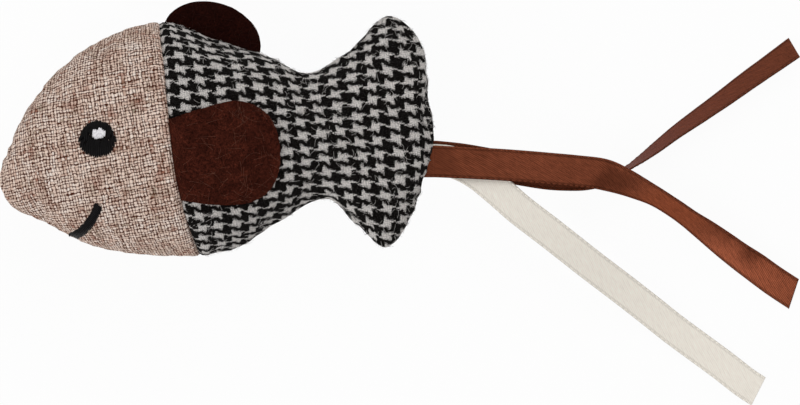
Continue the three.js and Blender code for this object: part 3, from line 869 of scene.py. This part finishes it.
def ribbon_piece(name, frames, finish, edge_finish, slant=0.0):
    """A satin strip along frames, with beads of weft along both selvedges and an end cut aslant."""
    half = sizes().ribbon_width / 2
    runs = runs_along([centre for centre, _, _ in frames])
    shares = [2 * column / STRIP_COLUMNS - 1 for column in range(STRIP_COLUMNS + 1)]

    def place(at, share):
        centre, right, up = frames[at]
        ripple = RIPPLE * noise.noise(Vector((runs[at] * RIPPLES_PER_M, len(name), 0)))
        cut = slant * smooth_step(runs[-1] - CUT_RUN, runs[-1], runs[at])
        return centre + (right * half + up * ripple + up.cross(right) * cut) * share

    points = [[place(at, share) for share in shares] for at in range(len(frames))]
    weave = [[(run / MM, half * share / MM) for share in shares] for run in runs]
    strip = new_piece(name, laid_grid(points, weave, frames[0][2]), [finish, edge_finish])
    modified(strip, "SOLIDIFY", thickness=sizes().ribbon_thickness, offset=0)
    apply_modifiers(strip)
    girths = [0.1 + 0.9 * abs(math.sin(math.pi * run / sizes().ribbon_bead)) ** 0.6 for run in runs]
    beads = [
        [(place(at, hand), girth) for at, girth in enumerate(girths)] for hand in (-BEAD_LINE, BEAD_LINE)
    ]
    joined(strip, thread_mesh(name + "_selvedge", beads, BEAD_RADIUS, edge_finish), 1)
    strip.data.shade_smooth()
    return strip


class CATTOY_OT_ribbons(bpy.types.Operator):
    """Lays the three satin ribbons, with their ends sewn into the tail seam"""

    bl_idname = "cat_toy.ribbons"
    bl_label = "Ribbons"

    def execute(self, context):
        paint = colours()
        brown = satin("brown_polyester_satin", paint.brown_satin, 0.75, 0.29, 1)
        # The back ribbon's satin: less glossy, and its colour darkened by a quarter as painted shade.
        dull = satin("brown_satin_back_painted_shade", [c * 0.74 for c in paint.brown_satin], 0.4, 0.5, 1)
        brown_edge = satin("brown_satin_selvedge", [c * 0.75 for c in paint.brown_satin], 0.3, 0.5, 0)
        cream = satin("cream_polyester_satin", paint.cream_satin, 0, 0.45, 0.22)
        cream_edge = satin("cream_satin_selvedge", paint.cream_satin, 0, 0.5, 0)
        for name, route, finish, edge, bodies, real_length, extra_lean, slant in (
            ("front", FRONT_ROUTE, brown, brown_edge, ("cream_ribbon", "front_ribbon"), 82.5, -4, 0.9),
            ("cream", CREAM_ROUTE, cream, cream_edge, ("back_ribbon", "cream_ribbon"), 83.5, 0, 0.35),
            ("back", BACK_ROUTE, dull, brown_edge, ("fish", "back_ribbon"), 83, 0, -0.4),
        ):
            low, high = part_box(f"ribbon_{name}_sewn_end")
            root = Vector((BEND_X, (low.y + high.y) / 2, (low.z + high.z) / 2))
            inner = BEND_X - RIBBON_TUCK - low.x
            level = []
            for step in range(END_STEPS + 1):
                inside = Vector((RIBBON_TUCK + inner * (END_STEPS - step) / END_STEPS, 0, 0))
                level.append((root - inside, *LEVEL))
            slot = "cream_satin" if name == "cream" else "brown_satin"
            end = ribbon_piece(f"satin_{name}_sewn_end", level, finish, edge)
            on_fish_body(end, f"ribbon_{name}_sewn_end", slot)
            frames = ribbon_frames(route, root.z, extra_lean)
            strip = ribbon_piece(f"satin_{name}_ribbon", frames, finish, edge, slant * MM)
            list(bodies)
            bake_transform(strip)
            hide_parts(f"ribbon_{name}")
            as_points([each[0] for each in frames[::10]] + [frames[-1][0]])
        return {"FINISHED"}


# Cover

FINE_SECTIONS = 900
OUTLINE_STEPS = 2000
# The cloth simulation: its faces, scale, frames, largest move and settings.
PRESSED_FACES = (40, 36)
PRESSED_SCALE = 10
PRESSED_FRAMES = 20
PRESSED_CAP = 0.5 * MM
PRESSURE = {
    "quality": 6, "mass": 0.2, "tension_stiffness": 20, "compression_stiffness": 20,
    "shear_stiffness": 8, "bending_stiffness": 0.4, "shrink_min": -0.025, "use_pressure": True,
    "uniform_pressure_force": 4,
}
FALL_SHARE = 0.35  # of a panel's fall that its weave takes up lengthwise
FAR_GRAIN = 6  # degrees
LUMPS_PER_M, DIMPLES_PER_M = 170, 900
LUMPS_FROM_EDGE, LUMPS_FROM_NECK = (0.2 * MM, 3 * MM), (0, 2 * MM)  # where lumps set in
DIMPLES_FROM_EDGE = (0, 0.8 * MM)
EDGE_ROLL = 0.4 * MM
LIFT_OVER_FIN, DIP_UNDER_FIN, FIN_REACH = 0.75 * MM, 0.5 * MM, 3.5 * MM
FILLER_FADE, FILLER_REACH = 2 * MM, 4 * MM
RIBBON_LIFT = 0.75 * MM
HALF_SEAM = 0.03 * MM
TABLE_GAP, FIN_ON_TABLE = 0.05 * MM, 1.5 * MM
FIN_PLAN_GAP, FIN_PLAN_POINTS = 0.3 * MM, 90
FILL_INSET, FILL_DEPTH, FILL_LEAST = 3.6 * MM, 3 * MM, 0.5 * MM
FILL_TUFT, FILL_TUFTS_PER_M = 0.5 * MM, 220


def even_sections(first, last, rows, seam):
    """Sections of a panel's rows, spaced so that neither end of a row steps far."""
    fine = [first + (last - first) * step / FINE_SECTIONS for step in range(FINE_SECTIONS + 1)]
    ends = [row_of(section, seam)[:2] for section in fine]
    runs = [0.0]
    for (belly, back), (next_belly, next_back) in zip(ends, ends[1:]):
        runs.append(runs[-1] + max((next_back - back).length, (next_belly - belly).length))
    return [fine[at] + (fine[at + 1] - fine[at]) * share for at, share in spaced(runs, rows + 1)]


def panel_points(first, last, side, rows, columns):
    """A panel's points on the stuffed form, row by row from nose to tail."""
    seam = edge_seam()
    spread = [math.sin(math.pi / 2 * (2 * column / columns - 1)) for column in range(columns + 1)]
    found = [row_of(section, seam) for section in even_sections(first, last, rows, seam)]
    return [[row_point(row, across, side) for across in spread] for row in found]


def pressed_out(points, side):
    """How far stuffing presses each point of a panel out between its seams: a cloth simulation at
    ten times the size, since cloth this small hardly moves, with the seams held and the move capped."""
    rows, columns = len(points), len(points[0])
    moves = [[Vector() for _ in range(columns)] for _ in range(rows)]
    spots = [[(row, column) for column in range(columns)] for row in range(rows)]
    made = laid_grid(points, spots, Vector((0, 0, side)))
    layer = made.loops.layers.uv["weave"]
    made.verts.index_update()
    place_of = {}
    for face in made.faces:
        for loop in face.loops:
            place_of[loop.vert.index] = tuple(round(part) for part in loop[layer].uv)
    held = [vertex.index for vertex in made.verts if vertex.is_boundary]
    bmesh.ops.scale(made, verts=made.verts, vec=(PRESSED_SCALE, PRESSED_SCALE, PRESSED_SCALE))
    panel = new_piece("panel_under_pressure", made, [])
    panel.vertex_groups.new(name="seams").add(held, 1, "REPLACE")
    before = [vertex.co.copy() for vertex in panel.data.vertices]
    cloth = modified(panel, "CLOTH")
    for name, value in PRESSURE.items():
        setattr(cloth.settings, name, value)
    cloth.settings.vertex_group_mass = "seams"
    cloth.settings.effector_weights.gravity = 0
    cloth.collision_settings.use_collision = False
    cloth.point_cache.frame_start = 1
    cloth.point_cache.frame_end = PRESSED_FRAMES
    for step in range(1, PRESSED_FRAMES + 1):
        bpy.context.scene.frame_set(step)
    seen = panel.evaluated_get(bpy.context.evaluated_depsgraph_get())
    for vertex, start in zip(seen.data.vertices, before):
        move = (vertex.co - start) / PRESSED_SCALE
        if move.length > PRESSED_CAP:
            move.length = PRESSED_CAP
        row, column = place_of[vertex.index]
        moves[row][column] = move
    bpy.context.scene.frame_set(1)
    bpy.data.objects.remove(panel)
    return moves


def between(table, row_share, column_share):
    """A vector between the entries of a table."""
    row = row_share * (len(table) - 1)
    column = column_share * (len(table[0]) - 1)
    r, c = min(int(row), len(table) - 2), min(int(column), len(table[0]) - 2)
    upper = table[r][c].lerp(table[r][c + 1], column - c)
    lower = table[r + 1][c].lerp(table[r + 1][c + 1], column - c)
    return upper.lerp(lower, row - r)


def downhill_slack(line, normals, start):
    """How far the flat cloth under each point of a row reaches beyond the row's plan: the length
    that its slopes take up, laid out downhill."""
    slack = [Vector((0, 0)) for _ in line]
    for step, last in ((1, len(line)), (-1, -1)):
        for at in range(start + step, last, step):
            move = line[at] - line[at - step]
            slack[at] = slack[at - step] + normals[at].xy.normalized() * (move.length - move.xy.length)
    return slack


def rolled_in(distance, radius):
    """How far cloth dips at a distance from a seam where it rolls in."""
    if distance >= radius:
        return 0
    return radius - math.sqrt(radius**2 - (radius - distance) ** 2)


def grid_normals(points, side):
    """Outward directions at a panel's points. At the nose or the tail tip, where a row is one
    point, that is along the fish."""
    rows, columns = len(points) - 1, len(points[0]) - 1
    normals = []
    for row in range(rows + 1):
        line = []
        for column in range(columns + 1):
            ahead = points[min(row + 1, rows)][column] - points[max(row - 1, 0)][column]
            aside = points[row][min(column + 1, columns)] - points[row][max(column - 1, 0)]
            normal = ahead.cross(aside) * side
            if aside.length < 1e-7:
                normal = Vector((-1 if row == 0 else 1, 0, 0))
            line.append(normal.normalized())
        normals.append(line)
    return normals


def in_fin_seam(y):
    """How fully the side fin's seam edge takes up the neck seam at a height, from 0 to 1."""
    over = y - NOSE_TIP.y
    rise = smooth_step(sizes().fin_bottom - 1.5 * MM, sizes().fin_bottom + 0.5 * MM, over)
    return rise * smooth_step(sizes().fin_top + 1.5 * MM, sizes().fin_top - 0.5 * MM, over)


def weave_map(points, normals, lengthwise, side):
    """The cloth's own millimetres at a panel's points: its plan, with slopes laid out downhill."""
    middle = (len(points[0]) - 1) // 2
    # The two sides are cut with the grain a little apart, as hand-laid patterns are.
    grain = Matrix.Rotation(math.radians(0 if side > 0 else FAR_GRAIN), 2)
    weave = []
    for line, ways, run in zip(points, normals, lengthwise):
        slack = downhill_slack(line, ways, middle)
        shift = Vector((run - line[middle].x, -NOSE_TIP.y))
        weave.append([grain @ (point.xy + shift + more) / MM for point, more in zip(line, slack)])
    return weave


def cloth_panel(name, first, last, side, finish, roll, lumps):
    """One panel of the cover: stuffed, rolled in at its seams, with its allowance inside."""
    rows, columns = sizes().panel_rows, sizes().panel_columns
    points = panel_points(first, last, side, rows, columns)
    moves = pressed_out(panel_points(first, last, side, *PRESSED_FACES), side)
    head = first == 0
    neck_row = rows if head else 0
    normals = grid_normals(points, side)
    along = [runs_along([row[column] for row in points], neck_row) for column in range(columns + 1)]
    spine = [row[columns // 2] for row in points]
    flattened = [Vector((point.x, point.y, FALL_SHARE * point.z)) for point in spine]
    weave = weave_map(points, normals, runs_along(flattened, neck_row), side)
    seam = edge_seam()
    outline = KDTree(OUTLINE_STEPS)
    for step in range(OUTLINE_STEPS):
        outline.insert(curve_point(seam, len(seam) * step / OUTLINE_STEPS, True), step)
    outline.balance()
    fin = side_fin_rim(FIN_PLAN_GAP, FIN_PLAN_POINTS)
    fin_plan = BVHTree.FromPolygons(fin, [list(range(len(fin)))])
    fillers = seam_fillers()
    inward = {}
    for row, line in enumerate(points):
        for column, flat in enumerate(line):
            normal = normals[row][column]
            edge = outline.find(Vector((flat.x, flat.y, 0)))[2] + abs(flat.z - SEAM_Z)
            neck = abs(along[column][row])
            point = flat + between(moves, row / rows, column / columns)
            held = smooth_step(*LUMPS_FROM_EDGE, edge) * smooth_step(*LUMPS_FROM_NECK, neck)
            rough = noise.noise(flat * LUMPS_PER_M) * lumps * held
            dimples = smooth_step(*DIMPLES_FROM_EDGE, edge)
            rough += noise.noise(flat * DIMPLES_PER_M) * lumps * 0.5 * dimples
            point += normal * (rough - max(rolled_in(edge, EDGE_ROLL), rolled_in(neck, roll)))
            fin_here = in_fin_seam(flat.y) * smooth_step(FIN_REACH, 0, neck)
            point.z += side * fin_here * (LIFT_OVER_FIN if head else -DIP_UNDER_FIN)
            for start, end, spread in fillers:
                inside = smooth_step(start - FILLER_FADE, start, flat.x)
                inside *= smooth_step(end + FILLER_FADE, end, flat.x)
                point.z += side * spread(flat.y) * inside * smooth_step(FILLER_REACH, 0, edge)
            point.z = SEAM_Z + side * max(side * (point.z - SEAM_Z), HALF_SEAM)
            if side < 0:
                over_fin = fin_plan.ray_cast(Vector((point.x, point.y, -1)), Vector((0, 0, 1)))[0]
                point.z = max(point.z, TABLE_GAP if over_fin is None else FIN_ON_TABLE)
            line[column] = point
            if row == neck_row:
                inward[tuple(point)] = -normal
            elif column in (0, columns) or row in (0, rows):
                inward[tuple(point)] = -Vector((normal.x, normal.y, 0)).normalized()
    made = laid_grid(points, weave, Vector((0, 0, side)))
    outer = set(made.verts)
    border = [each for each in made.edges if each.is_boundary]
    turned = bmesh.ops.extrude_edge_only(made, edges=border)["geom"]
    for vertex in [each for each in turned if isinstance(each, bmesh.types.BMVert)]:
        others = (each.other_vert(vertex) for each in vertex.link_edges)
        source = next(each for each in others if each in outer)
        vertex.co += inward[tuple(source.co)] * sizes().allowance
    panel = new_piece(name, made, [finish])
    modified(panel, "SOLIDIFY", thickness=sizes().cloth, offset=-1)
    apply_modifiers(panel)
    return panel


def seam_fillers():
    """Stretches of the edge seam that something thick spreads: its ends along the fish and how
    far each side is lifted at a height."""
    back, rump = dorsal_seam()
    bottom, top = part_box("ribbon_front_sewn_end")[0].y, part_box("ribbon_back_sewn_end")[1].y

    def at_dorsal(y):
        return sizes().felt / 2 if y > back.y - 9 * MM else 0

    def at_ribbons(y):
        open_up = smooth_step(bottom - 1.2 * MM, bottom + 0.4 * MM, y)
        return RIBBON_LIFT * open_up * smooth_step(top + 0.8 * MM, top - 1.2 * MM, y)

    return ((back.x, rump.x - 2 * MM, at_dorsal), (BEND_X - 6 * MM, BEND_X + 4 * MM, at_ribbons))


class CATTOY_OT_cover(bpy.types.Operator):
    """Makes the head and body panels of both sides"""

    bl_idname = "cat_toy.cover"
    bl_label = "Cover"

    def execute(self, context):
        cut = (
            ("linen_head", 0, NECK, linen_cloth(), sizes().linen_roll, 0.1, "head_panel", "linen_cloth"),
            ("houndstooth_body", NECK, TAIL, houndstooth_wool(), sizes().wool_roll, 0.25, "body_panel",
             "houndstooth_wool"),
        )
        for name, side in SIDES:
            for cloth, first, last, finish, roll, lumps, node, slot in cut:
                piece = cloth_panel(f"{cloth}_{name}", first, last, side, finish, roll, lumps * MM)
                on_fish_body(piece, f"{node}_{name}", slot)
        return {"FINISHED"}


class CATTOY_OT_stuffing(bpy.types.Operator):
    """Packs the fibre that fills the cover"""

    bl_idname = "cat_toy.stuffing"
    bl_label = "Stuffing"

    def execute(self, context):
        seam = edge_seam()
        low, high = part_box("fibre_stuffing")
        made = bmesh.new()
        bmesh.ops.create_uvsphere(made, u_segments=64, v_segments=60, radius=1)
        for vertex in made.verts:
            section = 0.35 + (TAIL - 0.7) * math.acos(max(-1, min(1, vertex.co.z))) / math.pi
            belly, back, swell = row_of(section, seam)[:3]
            around = math.atan2(vertex.co.y, vertex.co.x)
            whole = (back - belly).length / 2
            half = max(whole - FILL_INSET, FILL_LEAST)
            plan = belly.lerp(back, 0.5 + 0.5 * math.cos(around) * half / whole)
            height = max(swell - FILL_DEPTH, swell / 3) * math.sin(around)
            crown = height * (1 - 0.35 * math.cos(around) ** 4)
            rounded = min(1, math.hypot(vertex.co.x, vertex.co.y) * 6)
            point = Vector((plan.x, plan.y, SEAM_Z + crown * rounded))
            point += vertex.co * noise.noise(point * FILL_TUFTS_PER_M) * FILL_TUFT
            point.x = min(max(point.x, low.x), high.x)
            point.z = max(point.z, low.z + 0.6 * MM)
            vertex.co = point
        bmesh.ops.remove_doubles(made, verts=made.verts, dist=1e-6)
        bmesh.ops.recalc_face_normals(made, faces=made.faces)
        piece = new_piece("fibre_fill", made, [polyester_fibre()])
        on_fish_body(piece, "fibre_stuffing", "polyester_fibre")
        return {"FINISHED"}


# Fins

SEWN_STEPS, FLAP_STEPS = 6, 30
FIN_POINTS, DORSAL_POINTS = 60, 50
FIN_GAP = 0.15 * MM  # from the neck seam to a side fin
DORSAL_START = 1.1 * MM  # from the neck seam
DORSAL_CUP, DORSAL_CUP_HEIGHT = 0.5 * MM, 7 * MM
CUT_EDGE = 0.3 * MM
SIDE_FIN_FIBRES, DORSAL_FIBRES, PALE_HAIRS, DARK_HAIRS = 260, 120, 1500, 800
# Loose fibres in parts: the most they curl in radians, reach, lift and gap in millimetres, and how
# much each part thins.
LOOSE_PARTS = 5
FELT_FIBRE = {"curl": 0.9, "reach": (1.2, 4), "lift": (0.02, 0.14), "gap": 0.01, "taper": 0.12}
FELT_FIBRE_RADIUS = 0.027 * MM
WOOL_HAIR = {"curl": 1.8, "reach": (0.6, 1.9), "lift": (0.05, 0.5), "gap": 0.02, "taper": 0.1}
WOOL_HAIR_RADIUS = 0.034 * MM
SMALLEST_FACE = 1e-9  # square metres, for a hair to grow from


def felt_flap(name, seam_line, rim, place, finishes, outward):
    """A felt flap from a seam line out to a rim, with a strip sewn in and its cut edge in the second
    finish. place turns a plan point and its distance from the seam into a point of its outer face."""
    points = []
    for step in range(-SEWN_STEPS, FLAP_STEPS + 1):
        line = []
        for root, end in zip(seam_line, rim):
            if step < 0:
                line.append(place(root, sizes().allowance * step / SEWN_STEPS))
            else:
                plan = root.lerp(end, step / FLAP_STEPS)
                line.append(place(plan, (plan - root).length))
        points.append(line)
    weave = [[(point.x / MM, point.y / MM) for point in line] for line in points]
    flap = new_piece(name, laid_grid(points, weave, outward), finishes)
    modified(flap, "SOLIDIFY", thickness=sizes().felt, offset=-1, material_offset_rim=1)
    modified(flap, "BEVEL", width=CUT_EDGE, segments=3, limit_method="ANGLE",
             angle_limit=math.radians(50), material=1)
    apply_modifiers(flap)
    return flap


def stray_fibres(name, flap, finish, count, seed):
    """Loose fibres that lie on a felt flap and stand out from its cut edge."""
    chance = random.Random(seed)
    surface = mesh_surface(flap.data)
    corners = [vertex.co for vertex in flap.data.vertices]
    spans = [(min(co[axis] for co in corners), max(co[axis] for co in corners)) for axis in range(3)]
    lines = []
    for _ in range(count):
        start = Vector([chance.uniform(low, high) for low, high in spans])
        near, way, _, _ = surface.find_nearest(start)
        lines.append(lying_line(surface, near, way, chance, True, **FELT_FIBRE))
    return placed(name, thread_mesh(name, lines, FELT_FIBRE_RADIUS, finish, 0))


class CATTOY_OT_side_fins(bpy.types.Operator):
    """Cuts the felt side fins and sews them into the neck seams"""

    bl_idname = "cat_toy.side_fins"
    bl_label = "Side Fins"

    def execute(self, context):
        paint = colours()
        finishes = [
            pressed_felt("pressed_brown_felt", paint.felt, paint.felt_fibre),
            pressed_felt("cut_felt_edge", paint.felt_edge, paint.felt_fibre),
        ]
        fibre = embroidery_thread("stray_felt_fibre", linear("#704536"))
        rim = side_fin_rim(FIN_GAP, FIN_POINTS)
        top, bottom = sizes().fin_top, sizes().fin_bottom
        ahead = Vector((FIN_GAP, 0, 0))
        heights = [top + (bottom - top) * step / (FIN_POINTS - 1) for step in range(FIN_POINTS)]
        seam_line = [neck_point(height) + ahead for height in heights]
        wool = surface_of("houndstooth_body_near")
        cover = surface_of("houndstooth_body_near", "linen_head_near")
        felt = sizes().felt

        def under_linen(plan, run):
            return Vector((plan.x - 0.9 * MM * smooth_step(0, -0.8 * MM, run), plan.y, 0))

        def on_near(plan, run):
            hit = laid_on(wool, plan, 1) or laid_on(cover, plan, 1)
            height = felt - 0.3 * MM + 0.5 * MM * smooth_step(0, 3 * MM, run)
            return under_linen(plan, run) + Vector((0, 0, hit.z + height + min(run + 0.4 * MM, 0)))

        def on_far(plan, run):
            return under_linen(plan, run) + Vector((0, 0, 0.03 * MM - min(run, 0)))

        for (name, side), place, seed in zip(SIDES, (on_near, on_far), (5, 6)):
            facing = Vector((0, 0, side))
            flap = felt_flap(f"felt_side_fin_{name}", seam_line, rim, place, finishes, facing)
            loose = stray_fibres(f"felt_fibres_side_fin_{name}", flap, fibre, SIDE_FIN_FIBRES, seed)
            for piece in (flap, loose):
                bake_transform(piece)
            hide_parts(f"side_fin_{name}", f"side_fin_{name}_sewn_edge")
        return {"FINISHED"}


class CATTOY_OT_dorsal_fin(bpy.types.Operator):
    """Cuts the felt dorsal fin and sews it into the back seam"""

    bl_idname = "cat_toy.dorsal_fin"
    bl_label = "Dorsal Fin"

    def execute(self, context):
        back, rump = dorsal_seam()
        along = (rump - back).normalized()
        up = Vector((-along.y, along.x, 0))
        start = back + along * DORSAL_START
        long, tall = sizes().dorsal_length, sizes().dorsal_height
        last = DORSAL_POINTS - 1
        seam_line = [start + along * long * step / last for step in range(DORSAL_POINTS)]
        middle = start + along * long / 2
        turns = [math.pi * (1 - step / last) for step in range(DORSAL_POINTS)]
        rim = [middle + along * math.cos(turn) * long / 2 + up * math.sin(turn) * tall for turn in turns]

        def standing(plan, run):
            height = max((plan - start).dot(up), 0)
            arch = math.sin(math.pi * (plan - start).dot(along) / long)
            cup = DORSAL_CUP * arch * height / DORSAL_CUP_HEIGHT
            spot = plan + up * min(run, 0)
            return Vector((spot.x, spot.y, SEAM_Z + sizes().felt / 2 + cup))

        # Painted shade: the dorsal fin and its cut edge take darker felt colours than the side fins'.
        paint = colours()
        finishes = [
            pressed_felt("dorsal_felt_face_painted_shade", paint.dorsal_felt_painted_shade, paint.felt),
            pressed_felt("dorsal_felt_edge_painted_shade", paint.felt, paint.felt_fibre),
        ]
        fin = felt_flap("felt_dorsal_fin", seam_line, rim, standing, finishes, Vector((0, 0, 1)))
        # The dorsal fin's loose fibres are darkened as painted shade too.
        fibre = embroidery_thread("dorsal_felt_fibre_painted_shade", paint.felt)
        loose = stray_fibres("felt_fibres_dorsal_fin", fin, fibre, DORSAL_FIBRES, 9)
        for piece in (fin, loose):
            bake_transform(piece)
        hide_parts("dorsal_fin", "dorsal_fin_sewn_edge")
        return {"FINISHED"}


# Face

THREAD_OVERLAP = 0.82  # spacing of stitches as a share of the thread
STITCH_SUNK = 0.1 * MM
MOUTH_STITCHES, MOUTH_SLANT = 30, 0.25 * MM
GLINT_PLACE, GLINT_PITCH = Vector((0.35 * MM, 1.15 * MM, 0)), 0.37 * MM


def stitch(trees, start, end, side, rise, parts=7):
    """One satin stitch that arches over the cloth between two points."""
    line = []
    for part in range(parts):
        share = part / (parts - 1)
        plan = start.lerp(end, share)
        hit = laid_on(trees, plan, side)
        if hit is None:
            hit = trees[0].find_nearest(Vector((plan.x, plan.y, SEAM_Z + side * 2 * MM)))[0]
        arch = math.sin(math.pi * share) ** 0.4
        line.append((hit + Vector((0, 0, side * (rise * arch - STITCH_SUNK))), 0.75 + 0.25 * arch))
    return line


def eye_stitches(chance):
    """Ends in plan of the eye's stitches, most columns in two lengths that meet at random."""
    eye = on_fish(EYE)
    radius = sizes().eye_radius - 0.1 * MM
    columns = int(2 * radius / (sizes().thread * THREAD_OVERLAP))
    ends = []
    for column in range(columns + 1):
        x = (column / columns * 2 - 1) * radius * 0.985
        half = math.sqrt(max(radius**2 - x**2, 0)) + chance.uniform(-0.1, 0.14) * MM
        if half < 0.4 * MM:
            continue
        breaks = [-1, chance.uniform(-0.35, 0.35), 1] if half > 1.6 * MM else [-1, 1]
        spots = [eye + Vector((x - 0.1 * x * share * 0.5, half * share, 0)) for share in breaks]
        ends += zip(spots, spots[1:])
    return ends


def glint_stitches():
    """Ends in plan of the eye highlight's stitches."""
    glint = on_fish(EYE) + GLINT_PLACE
    ends = []
    for column, (low, high) in enumerate(GLINT):
        x = (column - len(GLINT) // 2) * GLINT_PITCH
        start = glint + Vector((x - 0.05 * MM, low * MM, 0))
        ends.append((start, glint + Vector((x + 0.08 * MM, high * MM, 0))))
    return ends


def mouth_stitches(chance):
    """Ends in plan of the mouth's slanting stitches."""
    fine = smooth_line([on_fish(place) for place in MOUTH], 200, MOUTH_STITCHES)
    ends = []
    for at, point in enumerate(fine):
        ahead = fine[min(at + 1, len(fine) - 1)] - fine[max(at - 1, 0)]
        aside = Vector((-ahead.y, ahead.x, 0)).normalized()
        slant = ahead.normalized() * MOUTH_SLANT
        half = sizes().mouth_width / 2 + chance.uniform(-0.08, 0.08) * MM
        ends.append((point - aside * half - slant, point + aside * half + slant))
    return ends


class CATTOY_OT_face(bpy.types.Operator):
    """Stitches an eye, its highlight and a mouth on each side of the head"""

    bl_idname = "cat_toy.face"
    bl_label = "Face"

    def execute(self, context):
        black = embroidery_thread("black_rayon_thread", colours().black_thread)
        white = embroidery_thread("white_rayon_thread", colours().white_thread)
        for name, side in SIDES:
            head = surface_of(f"linen_head_{name}")
            chance = random.Random(3)
            for what, node, slot, finish, rise, ends in (
                ("eye", "eye", "black_thread", black, 0.5, eye_stitches(chance)),
                ("highlight", "eye_glint", "white_thread", white, 0.85, glint_stitches()),
                ("mouth", "mouth", "black_thread", black, 0.5, mouth_stitches(chance)),
            ):
                lines = [stitch(head, start, end, side, rise * MM) for start, end in ends]
                mesh = thread_mesh(f"stitched_{what}_{name}", lines, sizes().thread / 2, finish)
                on_fish_body(placed(mesh.name, mesh), f"{node}_{name}", slot)
        return {"FINISHED"}


class CATTOY_OT_wool_hairs(bpy.types.Operator):
    """Raises the loose hairs of the brushed wool"""

    bl_idname = "cat_toy.wool_hairs"
    bl_label = "Wool Hairs"

    def execute(self, context):
        pale = embroidery_thread("pale_wool_hair", linear("#C4C0BC"))
        dark = embroidery_thread("dark_wool_hair", linear("#1B1918"))
        chance = random.Random(11)
        for name, low, high in (("near", SEAM_Z, math.inf), ("far", 2 * MM, SEAM_Z)):
            body = bpy.data.objects[f"houndstooth_body_{name}"].data
            outer = [p for p in body.polygons if p.area > SMALLEST_FACE]
            surface = mesh_surface(body)
            for tone, finish, count in (("pale", pale, PALE_HAIRS), ("dark", dark, DARK_HAIRS)):
                lines = []
                while len(lines) < count:
                    face = outer[chance.randrange(len(outer))]
                    start, way = face.center.copy(), face.normal.copy()
                    at_ribbons = ROOT_LOW.y - 3 * MM < start.y < ROOT_HIGH.y + 3 * MM
                    if not low <= start.z <= high or at_ribbons and start.x > BEND_X - 4 * MM:
                        continue
                    lines.append(lying_line(surface, start, way, chance, False, **WOOL_HAIR))
                mesh = thread_mesh(f"{tone}_wool_hairs_{name}", lines, WOOL_HAIR_RADIUS, finish, 0)
                piece = placed(mesh.name, mesh)
                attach(piece, "fish")
        return {"FINISHED"}


class CATTOY_PT_panel(bpy.types.Panel):
    """Lists the toy's pieces, sizes and colours"""

    bl_idname = "CATTOY_PT_panel"
    bl_label = "Fish-shaped Cat Toy"
    bl_space_type = "VIEW_3D"
    bl_region_type = "UI"
    bl_category = "Cat Toy"

    def draw(self, context):
        for maker in OPERATORS:
            self.layout.operator(maker.bl_idname)
        for group in (context.scene.cat_toy_sizes, context.scene.cat_toy_colours):
            for name in group.__annotations__:
                self.layout.prop(group, name)


OPERATORS = (
    CATTOY_OT_stage,
    CATTOY_OT_ribbons,
    CATTOY_OT_cover,
    CATTOY_OT_stuffing,
    CATTOY_OT_side_fins,
    CATTOY_OT_dorsal_fin,
    CATTOY_OT_face,
    CATTOY_OT_wool_hairs,
)
CLASSES = (FishSizes, FishColours, *OPERATORS, CATTOY_PT_panel)


def register():
    for each in CLASSES:
        bpy.utils.register_class(each)
    bpy.types.Scene.cat_toy_sizes = PointerProperty(type=FishSizes)
    bpy.types.Scene.cat_toy_colours = PointerProperty(type=FishColours)


def unregister():
    del bpy.types.Scene.cat_toy_colours
    del bpy.types.Scene.cat_toy_sizes
    for each in reversed(CLASSES):
        bpy.utils.unregister_class(each)


def main():
    register()
    bpy.ops.cat_toy.stage()
    bpy.ops.cat_toy.ribbons()
    bpy.ops.cat_toy.cover()
    bpy.ops.cat_toy.stuffing()
    bpy.ops.cat_toy.side_fins()
    bpy.ops.cat_toy.dorsal_fin()
    bpy.ops.cat_toy.face()
    bpy.ops.cat_toy.wool_hairs()


if __name__ == "__main__":
    main()
